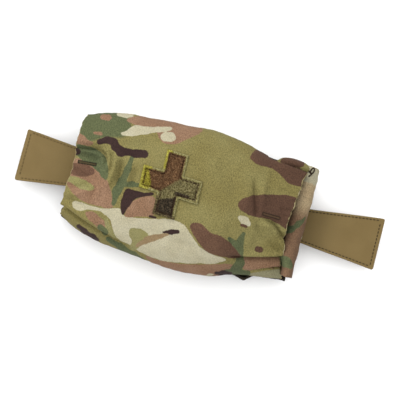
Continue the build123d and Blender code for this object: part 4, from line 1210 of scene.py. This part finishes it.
band_low, band_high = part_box("tourniquet_band")
middle = (band_low.z + band_high.z) / 2 / MM
fold_path = [(TQ_X - RUN / 2, middle - FOLD)]
for fold in (FOLD, FOLD + PITCH, FOLD + 2 * PITCH):
    fold_path += arc(TQ_X + RUN, middle, fold, -0.5, 0.5, 12)
    if fold < FOLD + 2 * PITCH:
        fold_path += arc(TQ_X - RUN, middle - PITCH / 2, fold + PITCH / 2, 0.5, 1.5, 12)
fold_path.append((TQ_X - RUN, middle + FOLD + 2 * PITCH))
keep(strip("tourniquet_webbing", rounded(fold_path, 0.1, 0.8), TQ_Y - 18.9, TQ_Y + 18.9, 1.3, BAND, 0.03, 111,
           rounding=0.25, step=2.2, plane="xz"), "tourniquet", "black_webbing", "tourniquet_band")
parts = []
top = band_high.z / MM - 0.05
for y in (TQ_Y - 15.5, TQ_Y + 15.5):
    parts += seam(np.linspace((-62, y, top), (-44, y, top), 30), (0, 0, 1), 2.6, 0.66, 0.25)
keep(joined("tourniquet_stitches", parts, thread("grey_thread", 120, 120, 116)), "tourniquet",
     "black_webbing")

rod_low, rod_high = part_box("windlass_rod")
ribbon_path = [(TQ_Y + 1.2, 28.9), *arc(TQ_Y, (rod_low.z + rod_high.z) / 2 / MM, 4.75, -0.35, 1.35, 40),
               (TQ_Y - 1.2, 28.9)]
keep(strip("windlass_tape_loop", rounded(ribbon_path, 0.5, 0.7), -6.3, 18.3, 0.9, RIBBON, 0.04, 112,
           rounding=0.3),
     "tourniquet", "black_webbing", "windlass_ribbon")
keeper_path = [(TQ_Y - 15.4, 36.2), (TQ_Y - 15.2, 38.85), (TQ_Y + 15.2, 38.85), (TQ_Y + 15.4, 36.2)]
keep(strip("windlass_keeper_strap", rounded(keeper_path, 1.5, 1), 29.2, 50.8, 0.6, KEEPER, 0.04, 113,
           rounding=0.3),
     "tourniquet", "grey_webbing", "windlass_keeper")

# ---- Stage, light and camera ----

paper = Shader("studio_floor", roughness=0.9)
paper.finish(paper.mix(paper.noise(paper.coords(), 0.01), (0.90, 0.90, 0.90, 1), (0.93, 0.93, 0.93, 1)))
floor = mesh_object("floor", [(x, y, -0.2) for x, y in ((-3000, -3000), (3000, -3000), (3000, 3000),
                                                        (-3000, 3000))],
                    [(0, 1, 2, 3)], paper.material)

# a sky that is brightest near the zenith, a little towards the sleeve's upper side
world = bpy.data.worlds.new("studio")
bpy.context.scene.world = world
sky = Nodes(world)
brightest = Vector((-0.06, 0.22, 0.97)).normalized()
facing = sky.node("VectorMath", {0: sky.node("TexCoord", {}, "Generated"), 1: brightest}, "Value",
                  operation="DOT_PRODUCT")
level = sky.node("MapRange", {"Value": facing, "From Min": -0.1, "To Min": 0.7, "To Max": 2.1})
sky.node("OutputWorld", {0: sky.node("Background", {0: (1, 1, 1, 1), 1: level})}, None)

unlit = bpy.data.collections.new("lit_by_the_sky_only")
unlit.objects.link(floor)
LIGHTS = (("key", (-0.75, 0.8, 0.95), 0.4, 14), ("fill", (-0.8, -0.75, 0.6), 0.9, 9))  # place, size and power
for name, place, size, power in LIGHTS:
    light = bpy.data.lights.new(name, "AREA")
    light.size = size
    light.energy = power
    lamp = bpy.data.objects.new(name, light)
    lamp.location = place
    lamp.rotation_euler = (Vector((0, 0, 0.02)) - Vector(place)).to_track_quat("-Z", "Y").to_euler()
    bpy.context.scene.collection.objects.link(lamp)
    lamp.light_linking.receiver_collection = unlit
unlit.collection_objects[0].light_linking.link_state = "EXCLUDE"

DISTANCE, VIEW_WIDTH, SENSOR = 1.5, 0.288, 36
camera_data = bpy.data.cameras.new("camera")
camera_data.sensor_width = SENSOR
camera_data.lens = SENSOR * DISTANCE / VIEW_WIDTH
camera = bpy.data.objects.new("camera", camera_data)
camera.matrix_world = (Matrix.Translation((0, 0, 0.012)) @ Matrix.Rotation(TILT, 4, "X")
                       @ Matrix.Rotation(ROLL, 4, "Z") @ Matrix.Translation((0, 0, DISTANCE)))
bpy.context.scene.collection.objects.link(camera)
bpy.context.scene.camera = camera
bpy.context.scene.view_settings.view_transform = "Standard"
